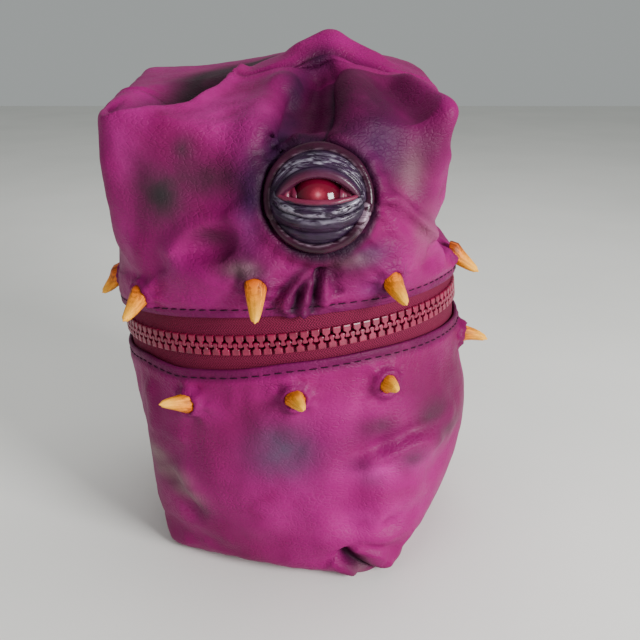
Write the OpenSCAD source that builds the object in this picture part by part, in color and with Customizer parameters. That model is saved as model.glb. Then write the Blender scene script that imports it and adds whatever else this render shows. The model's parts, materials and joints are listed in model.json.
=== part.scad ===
// Zip-mouthed monster dice bag: a soft leather pouch in two halves, joined round the mouth by a
// moulded zip, with one clay eye and a ring of claws on each jaw. Millimetres, +Z up, front faces -Y.
// The origin is the middle of the flat bottom, on the surface that the bag stands on.

/* [Bag] */
// Height of the closed bag
bag_h = 150; // [140:1:165]
// Half width of the flat bottom, left to right
bottom_half_w = 38.5; // [37:0.5:44]
// Half depth of the flat bottom, front to back
bottom_half_d = 40; // [37:0.5:45]
// How far the middle of the flat bottom is to the right of the mouth's middle
bottom_shift = 3; // [0:0.5:4]
// Turn of the flat bottom against the mouth, seen from above
bottom_turn = 13; // [0:1:15]
// Half width of the top, left to right
top_half_w = 46; // [42:0.5:50]
// Half depth of the top, front to back
top_half_d = 44; // [40:0.5:48]
// How much lower the top is at its front edge than at its back edge
top_slope = 8; // [0:1:12]
// Thickness of the leather
leather_t = 1.4; // [1:0.1:1.8]

/* [Mouth] */
// Radius of the zip tape's ring
mouth_r = 51; // [49:0.5:53]
// Height of the middle of the mouth
mouth_z = 75; // [70:1:80]
// Rise of the mouth towards the right, in degrees
mouth_rise_right = 5.3; // [0:0.1:7]
// Rise of the mouth towards the front, in degrees
mouth_rise_front = 3.9; // [0:0.1:6]
// Half of the gap between the two leather edges
lip_gap = 6.5; // [6:0.1:7.5]
// Half angle of the zip, measured from the front
zip_half_angle = 135; // [120:1:136]

/* [Zip] */
// Distance between two teeth on one tape
tooth_pitch = 2.8; // [2.6:0.05:3]
// Width of the tape, from the teeth to its sewn edge
tape_w = 8.2; // [7.5:0.1:8.3]
// Thickness of the tape
tape_t = 0.7; // [0.5:0.1:0.8]
// Length of the slider
slider_l = 11; // [10:0.5:12]
// Length of the pull tab
pull_l = 21; // [16:1:24]

/* [Eye and claws] */
// Sideways place of the eye
eye_x = 9; // [4:1:12]
// Height of the middle of the eye
eye_z = 116; // [112:1:119]
// Outer radius of the eye's rolled rim
eye_r = 14; // [13:0.5:15]
// Radius of the glass eyeball
ball_r = 7; // [6:0.5:7.5]
// Radius of a claw at its base
claw_r = 2.7; // [2.3:0.1:2.9]
// Length of a claw outside the leather
claw_l = 11; // [9:0.5:12.5]
// Least distance of the upper claws from the middle of the zip
upper_claw_row = 12.6; // [12.6:0.1:15]
// Least distance of the lower claws from the middle of the zip
lower_claw_row = 15.5; // [14:0.5:20]

/* [Hidden] */
$fn = 96;
big = 200;
gap = 0.25;

// Leather: the skin hangs just outside the tape at the mouth and spreads towards both ends.
tape_out_r = mouth_r + tape_t / 2;
tape_in_r = mouth_r - tape_t / 2;
skin_r = tape_out_r + gap + leather_t;
mouth_band = 25;
swell = 8;
swell_end = 48;
belly = 2.5;
belly_low_z = mouth_z - 22;
belly_high_z = mouth_z + 24;
edge_r = 9;

// Teeth, as seen from outside: a wide body clamped on the tape and a tapered nose.
tooth_n = floor(2 * zip_half_angle / (tooth_pitch / mouth_r * 180 / PI)) - 1;
tooth_step = tooth_pitch / mouth_r * 180 / PI;
tooth_t = 2.6;
tooth_out_r = mouth_r + tooth_t / 2;
tooth_foot = 2.9;
tooth_shoulder = 1.15;
tooth_tip = 0.95;
tooth_body_w = tooth_pitch * 0.79;
tooth_neck_w = tooth_pitch * 0.55;
tooth_tip_w = tooth_pitch * 0.34;
tape_edge = 1.5;
tape_end = tape_edge + tape_w;
tape_past_zip = 9;
strip_half = tape_end + 1.5;
strip_overlap = 1;
strip_t = 1.2;
stop_w = 2;
stop_h = 1.8;
stop_z = 2.2;
closed_stop_past = 6.5;
open_stop_past = 1.5;
stitch_in = 2.4;
thread_r = 0.3;

// Slider, at rest at the closed end, behind the bag on its left.
slider_az = -zip_half_angle + 2;
first_tooth_az = slider_az - 0.4;
slider_tail_w = 8.4;
slider_nose_w = 9.2;
slider_inner_wall = 1;
slider_outer_wall = 1.1;
slider_inner_r = mouth_r - 1.8;
slider_outer_r = tooth_out_r + 0.3;
slider_channel = 3.2;
plate_corner_r = 2.2;
post_l = 2.2;
post_w = 2;
crown_r = 3.4;
crown_t = 1.1;
crown_w = 1.8;
pull_pin_r = 0.8;
pull_gap = 0.35;
pull_arm_w = 0.9;
pull_w = 7;
pull_t = 1.4;
pull_hole_r = 1.6;
pull_axis_r = slider_outer_r + slider_outer_wall + pull_pin_r + 0.3;

// Eye: stacked clay pieces on the sloping front of the upper half.
front_slope = atan((skin_r + belly - top_half_d) / (bag_h - top_slope - edge_r - belly_high_z));
eye_y = -(skin_r + belly - (eye_z - belly_high_z) * tan(front_slope));
rim_tube = 1.5;
rim_lift = 0.6;
rim_split = 12.5;
rim_cut = 0.5;
backing_t = 3.2;
lid_r = 14;
lid_t = 1.1;
lid_edge_r = eye_r - 2 * rim_tube + 0.4;
lid_sink = sqrt(lid_r * lid_r - lid_edge_r * lid_edge_r) - backing_t;
ball_rise = 4.5;
ball_sphere_r = (ball_r * ball_r + ball_rise * ball_rise) / (2 * ball_rise);
iris_t = 0.3;
eye_half_w = 9.4;
eye_open_up = 5.2;
eye_open_down = 1.7;

// Claws: angle round the mouth from the front, distance from the zip, droop and sideways turn of
// the horn, its share of the full length, and how far the leather has spread where it stands.
upper_claws = [
    [-88, upper_claw_row, 54, -20, 0.95, 0],
    [-43, upper_claw_row + 0.9, 36, 25, 0.95, 0],
    [-5, upper_claw_row + 4.1, 52, 4, 1, 0],
    [32, upper_claw_row + 0.9, 38, -16, 0.95, 0],
    [74, upper_claw_row, 54, -6, 0.9, 0],
    [122, upper_claw_row + 1.4, 46, 0, 0.95, 0]
];
lower_claws = [
    [-128, -lower_claw_row - 3, 0, 0, 0.9, 0],
    [-32, -lower_claw_row - 1.5, -32, -4, 0.95, 0],
    [2, -lower_claw_row, -14, 14, 0.8, 0],
    [30, -lower_claw_row - 0.3, -16, -13, 0.65, 0],
    [80, -lower_claw_row, 4, 0, 0.75, 0],
    [124, -lower_claw_row - 24.5, 30, 0, 0.9, 5.2]
];
claw_rings = 10;
upper_claw_bend = -22;
lower_claw_bend = 25;
horn_sides = 20;
claw_root = 0.9;
claw_hole_r = claw_r + 0.2;

// ---------- helpers ----------

// Puts the mouth's own frame in place: its plane rises to the right and to the front.
module at_mouth() {
    translate([0, 0, mouth_z]) rotate([-mouth_rise_front, -mouth_rise_right, 0]) children();
}

// Turns a child from the front of the ring to an angle round it.
module round_mouth(az) {
    at_mouth() rotate([0, 0, az]) children();
}

// Points along an arc, for a rounded corner of an outline.
function arc(cx, cy, r, a0, a1, steps = 6) = [for (i = [0:steps])
    [cx + r * cos(a0 + (a1 - a0) * i / steps), cy + r * sin(a0 + (a1 - a0) * i / steps)]];

// Side or front outline of the lower pouch, from its flat bottom to above the mouth; shift moves
// its bottom sideways.
module lower_outline(bottom_half, inset, shift) {
    b = bottom_half - inset;
    m = skin_r + belly - inset;
    r = edge_r - inset;
    polygon(concat(
        [[m, mouth_z + 20], [m, belly_low_z - 4]],
        arc(shift + b - r, inset + r, r, 0, -90),
        arc(shift - b + r, inset + r, r, -90, -180),
        [[-m, belly_low_z - 4], [-m, mouth_z + 20]]));
}

// The same for the upper pouch; drop lowers the top's first corner, where the front is.
module upper_outline(top_half, inset, drop) {
    t = top_half - inset;
    m = skin_r + belly - inset;
    r = edge_r - inset;
    polygon(concat(
        [[-m, mouth_z - 20], [-m, belly_high_z]],
        arc(-t + r, bag_h - drop - inset - r, r, 180, 90),
        arc(t - r, bag_h - inset - r, r, 90, 0),
        [[m, belly_high_z], [m, mouth_z - 20]]));
}

// Extrudes a front view along Y, and a side view along X.
module through_y() {
    rotate([90, 0, 0]) linear_extrude(big, center = true) children();
}
module through_x() {
    rotate([90, 0, 90]) linear_extrude(big, center = true) children();
}

// Round at the mouth and wider towards the end; side is -1 for the lower pouch, 1 for the upper.
module spreading_tube(side, inset, from) {
    r = skin_r - inset;
    at_mouth() rotate_extrude() polygon([
        [0, side * from], [r, side * from], [r, side * mouth_band],
        [r + swell, side * swell_end], [r + swell + 2, side * 90], [0, side * 90]]);
}

module lower_pouch(inset, from) {
    intersection() {
        rotate([0, 0, -bottom_turn]) through_y() lower_outline(bottom_half_w, inset, bottom_shift);
        rotate([0, 0, -bottom_turn]) through_x() lower_outline(bottom_half_d, inset, 0);
        spreading_tube(-1, inset, from);
    }
}

module upper_pouch(inset, from) {
    intersection() {
        through_y() upper_outline(top_half_w, inset, 0);
        through_x() upper_outline(top_half_d, inset, top_slope);
        spreading_tube(1, inset, from);
    }
}

module half_space(side) {
    translate([0, side * big / 2, 0]) cube([2 * big, big, 2 * big], center = true);
}

module claw_holes(claws) {
    for (c = claws)
        round_mouth(c[0]) translate([0, -skin_r, c[1]]) rotate([90, 0, 0])
            cylinder(h = 20, r = claw_hole_r, center = true);
}

// A thread that lies on the leather round the mouth.
module stitch_ring(z) {
    at_mouth() translate([0, 0, z]) rotate_extrude() translate([skin_r + thread_r + 0.02, 0])
        circle(thread_r, $fn = 24);
}

// Part of a ring of tape between two angles from the front.
module band(inner_r, outer_r, z0, z1, az0, az1) {
    at_mouth() rotate([0, 0, az0 - 90]) rotate_extrude(angle = az1 - az0)
        translate([inner_r, z0]) square([outer_r - inner_r, z1 - z0]);
}

// One tooth at the front of the ring, nose towards +Z.
module tooth() {
    difference() {
        translate([0, -mouth_r, 0]) rotate([90, 0, 0]) linear_extrude(tooth_t, center = true) polygon([
            [-tooth_body_w / 2, -tooth_foot], [tooth_body_w / 2, -tooth_foot],
            [tooth_body_w / 2, -tooth_shoulder], [tooth_neck_w / 2, -tooth_shoulder],
            [tooth_tip_w / 2, tooth_tip], [-tooth_tip_w / 2, tooth_tip],
            [-tooth_neck_w / 2, -tooth_shoulder], [-tooth_body_w / 2, -tooth_shoulder]]);
        translate([-5, -mouth_r - tape_t / 2 - 0.05, -10]) cube([10, tape_t + 0.1, 10 - tape_edge + 0.05]);
    }
}

// One row of teeth: side is -1 for the lower tape and 1 for the upper, whose teeth are half a step on.
module teeth_row(side) {
    for (i = [0:tooth_n - 1])
        round_mouth(first_tooth_az + (i + (side + 1) / 4) * tooth_step)
            mirror([0, 0, (side + 1) / 2]) tooth();
}

// The plain blocks that close a tape's row of teeth at both ends.
module end_stops(side) {
    for (az = [-zip_half_angle - closed_stop_past, zip_half_angle + open_stop_past])
        round_mouth(az) difference() {
            translate([0, -mouth_r, side * stop_z]) cube([stop_w, tooth_t, stop_h], center = true);
            translate([0, -mouth_r, side * (tape_edge + tape_w / 2 - 0.05)])
                cube([2 * stop_w, tape_t + 0.1, tape_w], center = true);
        }
}

// ---------- leather ----------

module lower_leather(side) {
    color("mediumvioletred") intersection() {
        difference() {
            lower_pouch(0, lip_gap);
            lower_pouch(leather_t, 0);
            claw_holes(lower_claws);
        }
        rotate([0, 0, -bottom_turn]) half_space(side);
    }
}

module upper_leather(side) {
    color("mediumvioletred") intersection() {
        difference() {
            upper_pouch(0, lip_gap);
            upper_pouch(leather_t, 0);
            claw_holes(upper_claws);
        }
        half_space(side);
    }
}

module lower_front_panel() { lower_leather(-1); }
module lower_back_panel() { lower_leather(1); }
module upper_front_panel() { upper_leather(-1); }
module upper_back_panel() { upper_leather(1); }

// The strip of leather behind the bag that joins the zip's two ends and folds as the hinge.
module hinge_strip() {
    reach = zip_half_angle + tape_past_zip + strip_overlap;
    color("purple") band(tape_out_r - strip_t, tape_out_r, -strip_half, strip_half, reach, 360 - reach);
}

// ---------- zip ----------

module lower_tape() {
    color("maroon") band(tape_in_r, tape_out_r, -tape_end, -tape_edge,
                         -zip_half_angle - tape_past_zip, zip_half_angle + tape_past_zip);
}

module upper_tape() {
    color("maroon") band(tape_in_r, tape_out_r, tape_edge, tape_end,
                         -zip_half_angle - tape_past_zip, zip_half_angle + tape_past_zip);
}

module lower_teeth() { color("brown") teeth_row(-1); }
module upper_teeth() { color("brown") teeth_row(1); }
module lower_end_stops() { color("brown") end_stops(-1); }
module upper_end_stops() { color("brown") end_stops(1); }

// Outline of the slider's two plates, wide at the nose on the left and rounded at both ends.
module slider_plate(t) {
    r = plate_corner_r;
    l = slider_l / 2 - r;
    rotate([90, 0, 0]) linear_extrude(t) union() {
        polygon([[-l, -slider_nose_w / 2], [l, -slider_tail_w / 2],
                 [l, slider_tail_w / 2], [-l, slider_nose_w / 2]]);
        for (s = [-1, 1]) {
            translate([-l, s * (slider_nose_w / 2 - r)]) circle(r);
            translate([l, s * (slider_tail_w / 2 - r)]) circle(r);
        }
        translate([-slider_l / 2, -slider_nose_w / 2 + r]) square([r, slider_nose_w - 2 * r]);
        translate([l, -slider_tail_w / 2 + r]) square([r, slider_tail_w - 2 * r]);
    }
}

// Side rails that close the slider round the teeth and leave a slot for the tape.
module slider_rails() {
    rail_t = slider_tail_w / 2 - slider_channel;
    rail_l = slider_l - 2 * plate_corner_r;
    for (s = [-1, 1]) translate([0, 0, s * (slider_channel + rail_t / 2)]) {
        translate([0, -(tape_out_r + gap + slider_outer_r + 0.1) / 2, 0])
            cube([rail_l, slider_outer_r + 0.1 - tape_out_r - gap, rail_t], center = true);
        translate([0, -(slider_inner_r - 0.1 + tape_in_r - 2 * gap) / 2, 0])
            cube([rail_l, tape_in_r - 2 * gap - slider_inner_r + 0.1, rail_t], center = true);
    }
}

module slider() {
    color("firebrick") round_mouth(slider_az) {
        translate([0, -slider_outer_r, 0]) slider_plate(slider_outer_wall);
        translate([0, -slider_inner_r + slider_inner_wall, 0]) slider_plate(slider_inner_wall);
        slider_rails();
        translate([-slider_l / 2 + 0.5, -slider_outer_r - 0.1, -post_w / 2])
            cube([post_l, slider_outer_r - slider_inner_r + 0.2, post_w]);
        translate([0, -slider_outer_r - slider_outer_wall + 0.1, 0]) rotate([0, 0, 180])
            rotate_extrude(angle = 180) translate([crown_r - crown_t, -crown_w / 2])
                square([crown_t, crown_w]);
    }
}

module pull_tab() {
    arm_in = crown_w / 2 + pull_gap;
    arm_out = arm_in + pull_arm_w;
    body_from = crown_r + 1;
    color("firebrick") round_mouth(slider_az) translate([0, -pull_axis_r, 0]) {
        cylinder(h = 2 * arm_out, r = pull_pin_r, center = true);
        for (s = [-1, 1]) translate([-body_from - 1, 0, s * (arm_in + arm_out) / 2])
            translate([(body_from + 1) / 2, 0, 0])
                cube([body_from + 1, 2 * pull_pin_r, pull_arm_w], center = true);
        rotate([90, 0, 0]) linear_extrude(pull_t, center = true) difference() {
            union() {
                translate([-pull_l + pull_w / 2, -pull_w / 2])
                    square([pull_l - pull_w / 2 - body_from, pull_w]);
                translate([-pull_l + pull_w / 2, 0]) circle(pull_w / 2);
            }
            translate([-pull_l + pull_w / 2, 0]) circle(pull_hole_r);
        }
    }
}

// ---------- thread ----------

module lower_topstitch() { color("black") stitch_ring(-lip_gap - stitch_in); }
module upper_topstitch() { color("black") stitch_ring(lip_gap + stitch_in); }

// ---------- eye ----------

// Puts a child on the front of the upper half, with +Z out of the leather and +Y up.
module at_eye() {
    translate([eye_x, eye_y, eye_z]) rotate([90 - front_slope, 0, 0]) children();
}

// Part of the rolled rim between two angles; the lids' edge fits inside it.
module rim_part(a0, a1) {
    at_eye() translate([0, 0, rim_tube + rim_lift]) difference() {
        rotate([0, 0, a0]) rotate_extrude(angle = a1 - a0)
            translate([eye_r - rim_tube, 0]) circle(rim_tube, $fn = 48);
        cylinder(h = 4 * backing_t, r = lid_edge_r + 0.02, center = true);
    }
}

module lid_shell() {
    difference() {
        translate([0, 0, -lid_sink]) sphere(lid_r);
        translate([0, 0, -lid_sink]) sphere(lid_r - lid_t);
        translate([0, 0, -big / 2 + backing_t + 0.05]) cube(big, center = true);
    }
}

// Circle through both corners of the eye and the middle of one lid's edge.
module lid_edge(rise) {
    r = (eye_half_w * eye_half_w + rise * rise) / (2 * abs(rise));
    translate([0, rise - sign(rise) * r, 0]) cylinder(h = big, r = r, center = true);
}

module eye_backing() {
    color("indigo") at_eye() translate([0, 0, 0.05]) cylinder(h = backing_t - 0.05, r = lid_edge_r);
}

module eye_rim_upper() {
    color("indigo") rim_part(-rim_split + rim_cut, 180 + rim_split - rim_cut);
}

module eye_rim_lower() {
    color("slateblue") rim_part(180 + rim_split + rim_cut, 360 - rim_split - rim_cut);
}

module upper_eyelid() {
    color("dimgray") at_eye() difference() {
        lid_shell();
        lid_edge(eye_open_up);
        translate([0, -big / 2 + 0.05, 0]) cube(big, center = true);
    }
}

module lower_eyelid() {
    color("slategray") at_eye() difference() {
        lid_shell();
        lid_edge(-eye_open_down);
        translate([0, big / 2 - 0.05, 0]) cube(big, center = true);
    }
}

module iris_disc() {
    color("darkred") at_eye() translate([0, 0, backing_t]) cylinder(h = iris_t, r = ball_r);
}

module eyeball() {
    color("crimson") at_eye() difference() {
        translate([0, 0, backing_t + iris_t + ball_rise - ball_sphere_r]) sphere(ball_sphere_r);
        translate([0, 0, backing_t + iris_t - big / 2]) cube(big, center = true);
    }
}

// ---------- claws ----------

// Radius of a horn at a share of its length, from its base to its tip.
function horn_r(t) = (claw_r - 0.05) * pow(1 - t, 0.7);

// One ring of points round a horn that bends by the angle a on its way up.
function horn_ring(t, l, bend) = let (a = bend * t, rho = l / (bend * PI / 180)) [
    for (k = [0:horn_sides - 1]) let (p = 360 * k / horn_sides, r = horn_r(t)) [
        r * cos(p),
        r * sin(p) * cos(a) - rho * (1 - cos(a)),
        r * sin(p) * sin(a) + rho * sin(a)]];

// A curved horn, swept in rings that end in one point.
module horn(l, bend) {
    n = horn_sides;
    top = n * claw_rings;
    points = concat(
        [for (i = [0:claw_rings - 1], p = horn_ring(i / claw_rings, l, bend)) p],
        [horn_ring(1, l, bend)[0]]);
    sides = [for (i = [0:claw_rings - 2], k = [0:n - 1])
        [i * n + k, (i + 1) * n + k, (i + 1) * n + (k + 1) % n, i * n + (k + 1) % n]];
    tip = [for (k = [0:n - 1]) [top - n + k, top, top - n + (k + 1) % n]];
    polyhedron(points, concat([[for (k = [0:n - 1]) k]], sides, tip), convexity = 4);
}

// One claw: a stub glued into a hole through the leather and the horn outside.
module claw(c, bend) {
    color("peachpuff") round_mouth(c[0]) translate([0, -skin_r - c[5], c[1]]) rotate([90, 0, 0]) {
        translate([0, 0, -leather_t]) cylinder(h = leather_t + claw_root, r = claw_r);
        translate([0, 0, claw_root]) sphere(claw_r + 0.15);
        translate([0, 0, claw_root]) rotate([c[2], c[3], 0]) horn(claw_l * c[4], bend);
    }
}

module claw_upper(n) { claw(upper_claws[n - 1], upper_claw_bend); }
module claw_lower(n) { claw(lower_claws[n - 1], lower_claw_bend); }

lower_front_panel();
lower_back_panel();
upper_front_panel();
upper_back_panel();
hinge_strip();
lower_tape();
upper_tape();
lower_teeth();
upper_teeth();
lower_end_stops();
upper_end_stops();
slider();
pull_tab();
lower_topstitch();
upper_topstitch();
eye_backing();
eye_rim_upper();
eye_rim_lower();
upper_eyelid();
lower_eyelid();
iris_disc();
eyeball();
for (n = [1:6]) claw_upper(n);
for (n = [1:6]) claw_lower(n);
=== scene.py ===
import json
import math

import bmesh
import bpy
import numpy as np
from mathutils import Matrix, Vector, noise

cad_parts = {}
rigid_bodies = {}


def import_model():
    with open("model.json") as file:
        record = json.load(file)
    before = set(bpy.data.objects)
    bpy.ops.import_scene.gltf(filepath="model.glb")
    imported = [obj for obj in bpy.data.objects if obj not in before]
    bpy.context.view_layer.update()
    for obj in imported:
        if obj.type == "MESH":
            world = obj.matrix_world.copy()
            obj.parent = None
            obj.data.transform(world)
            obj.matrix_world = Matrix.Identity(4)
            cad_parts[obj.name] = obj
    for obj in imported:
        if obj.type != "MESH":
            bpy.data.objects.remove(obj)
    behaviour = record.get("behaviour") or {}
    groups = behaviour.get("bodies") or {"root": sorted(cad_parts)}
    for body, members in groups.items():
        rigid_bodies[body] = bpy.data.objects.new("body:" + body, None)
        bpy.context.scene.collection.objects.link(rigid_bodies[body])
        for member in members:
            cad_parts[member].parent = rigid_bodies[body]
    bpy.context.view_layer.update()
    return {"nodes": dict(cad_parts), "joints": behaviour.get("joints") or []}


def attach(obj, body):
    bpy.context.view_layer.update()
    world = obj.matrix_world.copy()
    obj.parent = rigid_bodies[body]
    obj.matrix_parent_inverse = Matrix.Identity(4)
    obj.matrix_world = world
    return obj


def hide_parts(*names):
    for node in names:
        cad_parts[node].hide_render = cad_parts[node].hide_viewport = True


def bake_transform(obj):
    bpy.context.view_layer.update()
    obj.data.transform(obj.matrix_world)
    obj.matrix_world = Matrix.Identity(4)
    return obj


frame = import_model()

# Shapes are worked out in millimetres, as in the CAD, and scaled once when a mesh is made.
MM = 0.001

# ---------- the mouth's own frame, from the joints ----------

JOINTS = {j["name"]: j for j in frame["joints"]}
MOUTH_CENTRE = np.array(JOINTS["slider_travel"]["pos_m"]) / MM
MOUTH_UP = np.array(JOINTS["slider_travel"]["axis"])
MOUTH_RIGHT = -np.array(JOINTS["lid_hinge"]["axis"])
MOUTH_BACK = np.cross(MOUTH_UP, MOUTH_RIGHT)
TAPE_R = 51.0
LEATHER_R = 52.9
LEATHER_T = 0.75


def at_mouth(radius, azimuth, height):
    """Points round the mouth: azimuth in degrees from the front, height along the mouth's own axis."""
    a = np.radians(azimuth)
    radius, a, height = np.broadcast_arrays(radius, a, height)
    return (MOUTH_CENTRE + (radius * np.sin(a))[..., None] * MOUTH_RIGHT
            - (radius * np.cos(a))[..., None] * MOUTH_BACK + height[..., None] * MOUTH_UP)


def mouth_coordinates(points):
    """Radius, azimuth and height of points in the mouth's frame."""
    p = points - MOUTH_CENTRE
    x, y, z = p @ MOUTH_RIGHT, p @ MOUTH_BACK, p @ MOUTH_UP
    return np.hypot(x, y), np.degrees(np.arctan2(x, -y)), z


# ---------- camera ----------

def add_camera():
    camera = bpy.data.objects.new("camera", bpy.data.cameras.new("camera"))
    bpy.context.scene.collection.objects.link(camera)
    camera.location = (0.0095, -0.239, 0.155)
    camera.rotation_euler = (math.radians(69.5), 0, 0)
    camera.data.lens = 43.7
    camera.data.sensor_width = 36
    camera.data.clip_start = 0.01
    bpy.context.scene.camera = camera


add_camera()

# ---------- mesh helpers ----------

def make_object(name, points, faces, smooth=True):
    """A mesh object from points in millimetres."""
    mesh = bpy.data.meshes.new(name)
    faces = [tuple(int(v) for v in face) for face in faces]
    mesh.from_pydata((np.asarray(points) * MM).tolist(), [], faces)
    mesh.polygons.foreach_set("use_smooth", [smooth] * len(mesh.polygons))
    mesh.update()
    obj = bpy.data.objects.new(name, mesh)
    bpy.context.scene.collection.objects.link(obj)
    return obj


def read_points(obj):
    flat = np.empty(len(obj.data.vertices) * 3)
    obj.data.vertices.foreach_get("co", flat)
    return flat.reshape(-1, 3) / MM


def write_points(obj, points):
    obj.data.vertices.foreach_set("co", (points * MM).ravel())
    obj.data.update()


def read_normals(obj):
    flat = np.empty(len(obj.data.vertices) * 3)
    obj.data.vertices.foreach_get("normal", flat)
    return flat.reshape(-1, 3)


def read_edges(obj):
    flat = np.empty(len(obj.data.edges) * 2, int)
    obj.data.edges.foreach_get("vertices", flat)
    return flat.reshape(-1, 2)


def paint(obj, name, values):
    """Stores one number per point, for the materials."""
    attribute = obj.data.attributes.get(name) or obj.data.attributes.new(name, "FLOAT", "POINT")
    attribute.data.foreach_set("value", np.asarray(values, np.float32))


def painted(obj, name):
    values = np.empty(len(obj.data.vertices), np.float32)
    obj.data.attributes[name].data.foreach_get("value", values)
    return values


def apply_modifiers(obj):
    depsgraph = bpy.context.evaluated_depsgraph_get()
    mesh = bpy.data.meshes.new_from_object(obj.evaluated_get(depsgraph))
    obj.modifiers.clear()
    obj.data = mesh
    return obj


def subdivide(obj, levels=1):
    modifier = obj.modifiers.new("subdivide", "SUBSURF")
    modifier.levels = modifier.render_levels = levels
    return apply_modifiers(obj)


def smooth_points(points, edges, weight, rounds):
    """Moves each point towards the mean of its neighbours, by its weight."""
    a, b = edges[:, 0], edges[:, 1]
    count = np.maximum(np.bincount(edges.ravel(), minlength=len(points)), 1)[:, None]
    for _ in range(rounds):
        total = np.zeros_like(points)
        np.add.at(total, a, points[b])
        np.add.at(total, b, points[a])
        points = points + weight[:, None] * (total / count - points)
    return points


def lengths(vectors):
    return np.linalg.norm(vectors, axis=1)


def arc_length(line):
    """Distance along a line of points, from 0 at its first one."""
    return np.concatenate([[0], np.cumsum(lengths(np.diff(line, axis=0)))])


def bell(distance, width):
    """1 at no distance, and falling away over about that width."""
    return np.exp(-(distance / width) ** 2)


def ramp(value, low, high):
    """0 at low, 1 at high and smooth between them."""
    t = np.clip((value - low) / (high - low), 0, 1)
    return t * t * (3 - 2 * t)


def fractal(points, size, seed, octaves=3):
    """Smooth noise about zero, with features of about that size in millimetres."""
    shift = Vector((seed * 17.3, seed * 5.1, seed * 9.7))
    return np.array([noise.fractal(Vector(p) / size + shift, 1.0, 2.0, octaves) for p in points])


def tube_faces(rings, sides, first=0):
    """Faces of a tube whose rings of points follow one another."""
    return [(first + j * sides + i, first + j * sides + (i + 1) % sides,
             first + (j + 1) * sides + (i + 1) % sides, first + (j + 1) * sides + i)
            for j in range(rings - 1) for i in range(sides)]


def grid_faces(rows, columns):
    """Faces of an open grid of points, row after row."""
    return [(j * columns + i, j * columns + i + 1, (j + 1) * columns + i + 1, (j + 1) * columns + i)
            for j in range(rows - 1) for i in range(columns - 1)]


def cap_faces(sides, count):
    """The two end faces of a tube made of that many points in all."""
    return [tuple(range(sides))[::-1], tuple(range(count - sides, count))]


# ---------- leather: the shape of the two pouches ----------

SIDE = 30                  # cells along each side of a pouch's square end
ROUND = 4 * SIDE           # cells round its mouth
UPPER_ROWS, LOWER_ROWS = 24, 27
UPPER_SEAM, LOWER_SEAM = 13, 15      # the row of the square end that the sewn seam follows
END_WIDTH, SEAM_R = 90, 52           # width of the square end and radius of the walls
LIP_EDGE = 0.95                      # from the lip to the first row of the wall
FAR_FROM_LIP = 90.0                  # stands for any point of the square end

# Rolled edge of the mouth, from the inside flap to the outside: radius and distance from the lip.
LIP_ROLL = [(51.45, 3.3), (51.5, 2.2), (51.5, 0.95), (51.7, 0.4), (52.2, 0.18), (52.72, 0.4)]

# Distance of each lip from the middle of the zip, at each azimuth.
UPPER_LIP = ([-180, -105, -82, -50, -20, 0, 30, 60, 82, 105, 180],
             [6.5, 5.6, 4.8, 7.1, 7.5, 7.3, 5.7, 5.3, 4.6, 5.6, 6.5])
LOWER_LIP = ([-180, -105, -80, -52, -36, -15, 0, 26, 75, 105, 180],
             [6.5, 6.5, 6.4, 5.3, 7.0, 6.4, 5.2, 5.2, 7.6, 6.6, 6.5])


def lip_at(side, azimuth):
    wrapped = (np.asarray(azimuth) + 180) % 360 - 180
    return side * np.interp(wrapped, *(UPPER_LIP if side > 0 else LOWER_LIP))


def round_square(f, x0, x1, y0, y1, r, turn):
    """Points on a square with round corners: f runs 0 to 1 from the front left corner, round the front."""
    corners = [(x0, y0), (x1, y0), (x1, y1), (x0, y1)]
    middle = np.array([(x0 + x1) / 2, (y0 + y1) / 2])
    out = np.zeros((len(f), 2))
    for q in range(4):
        line = []
        for corner, start in ((corners[q], 225 + 90 * q), (corners[(q + 1) % 4], 270 + 90 * q)):
            centre = np.array(corner) + np.sign(middle - corner) * r
            t = np.radians(np.linspace(start, start + 45, 9))
            line.append(centre + r * np.stack([np.cos(t), np.sin(t)], axis=1))
        line = np.concatenate(line)
        s = arc_length(line)
        mine = (f * 4).astype(int) == q
        t = (f[mine] * 4 - q) * s[-1]
        out[mine] = np.stack([np.interp(t, s, line[:, k]) for k in (0, 1)], axis=1)
    c, s = math.cos(math.radians(turn)), math.sin(math.radians(turn))
    return np.stack([out[:, 0] * c - out[:, 1] * s, out[:, 0] * s + out[:, 1] * c], axis=1)


def fill_square(edge):
    """Points inside a square patch, from the points round its edge (a Coons patch)."""
    k = SIDE
    front, right = edge[0:k + 1], edge[k:2 * k + 1]
    back = edge[2 * k:3 * k + 1][::-1]
    left = np.concatenate([edge[3 * k:4 * k], edge[0:1]])[::-1]
    u, v = np.meshgrid(np.linspace(0, 1, k + 1), np.linspace(0, 1, k + 1), indexing="ij")
    u, v = u[..., None], v[..., None]
    patch = ((1 - v) * front[:, None] + v * back[:, None] + (1 - u) * left[None] + u * right[None]
             - (1 - u) * (1 - v) * front[0] - u * (1 - v) * front[-1]
             - (1 - u) * v * back[0] - u * v * back[-1])
    return patch[1:k, 1:k].reshape(-1, 2)


def pouch_faces(rows, seam, flip):
    """Faces of a tube of rows, closed by a square grid, and whether each is in the front panel."""
    faces = tube_faces(rows + 1, ROUND)
    right, left = SIDE + seam, 4 * SIDE - seam
    front = [i < right or i >= left for _ in range(rows) for i in range(ROUND)]
    k = SIDE
    top = rows * ROUND
    grid = np.zeros((k + 1, k + 1), int)
    steps = np.arange(k + 1)
    grid[steps, 0] = top + steps
    grid[k, steps] = top + k + steps
    grid[k - steps, k] = top + 2 * k + steps
    grid[0, k - steps] = top + (3 * k + steps) % ROUND
    grid[1:k, 1:k] = np.arange((k - 1) ** 2).reshape(k - 1, k - 1) + (rows + 1) * ROUND
    faces += [(grid[a, b], grid[a + 1, b], grid[a + 1, b + 1], grid[a, b + 1])
              for a in range(k) for b in range(k)]
    front += [b < seam for _ in range(k) for b in range(k)]
    return [tuple(reversed(face)) if flip else face for face in faces], front


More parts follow.
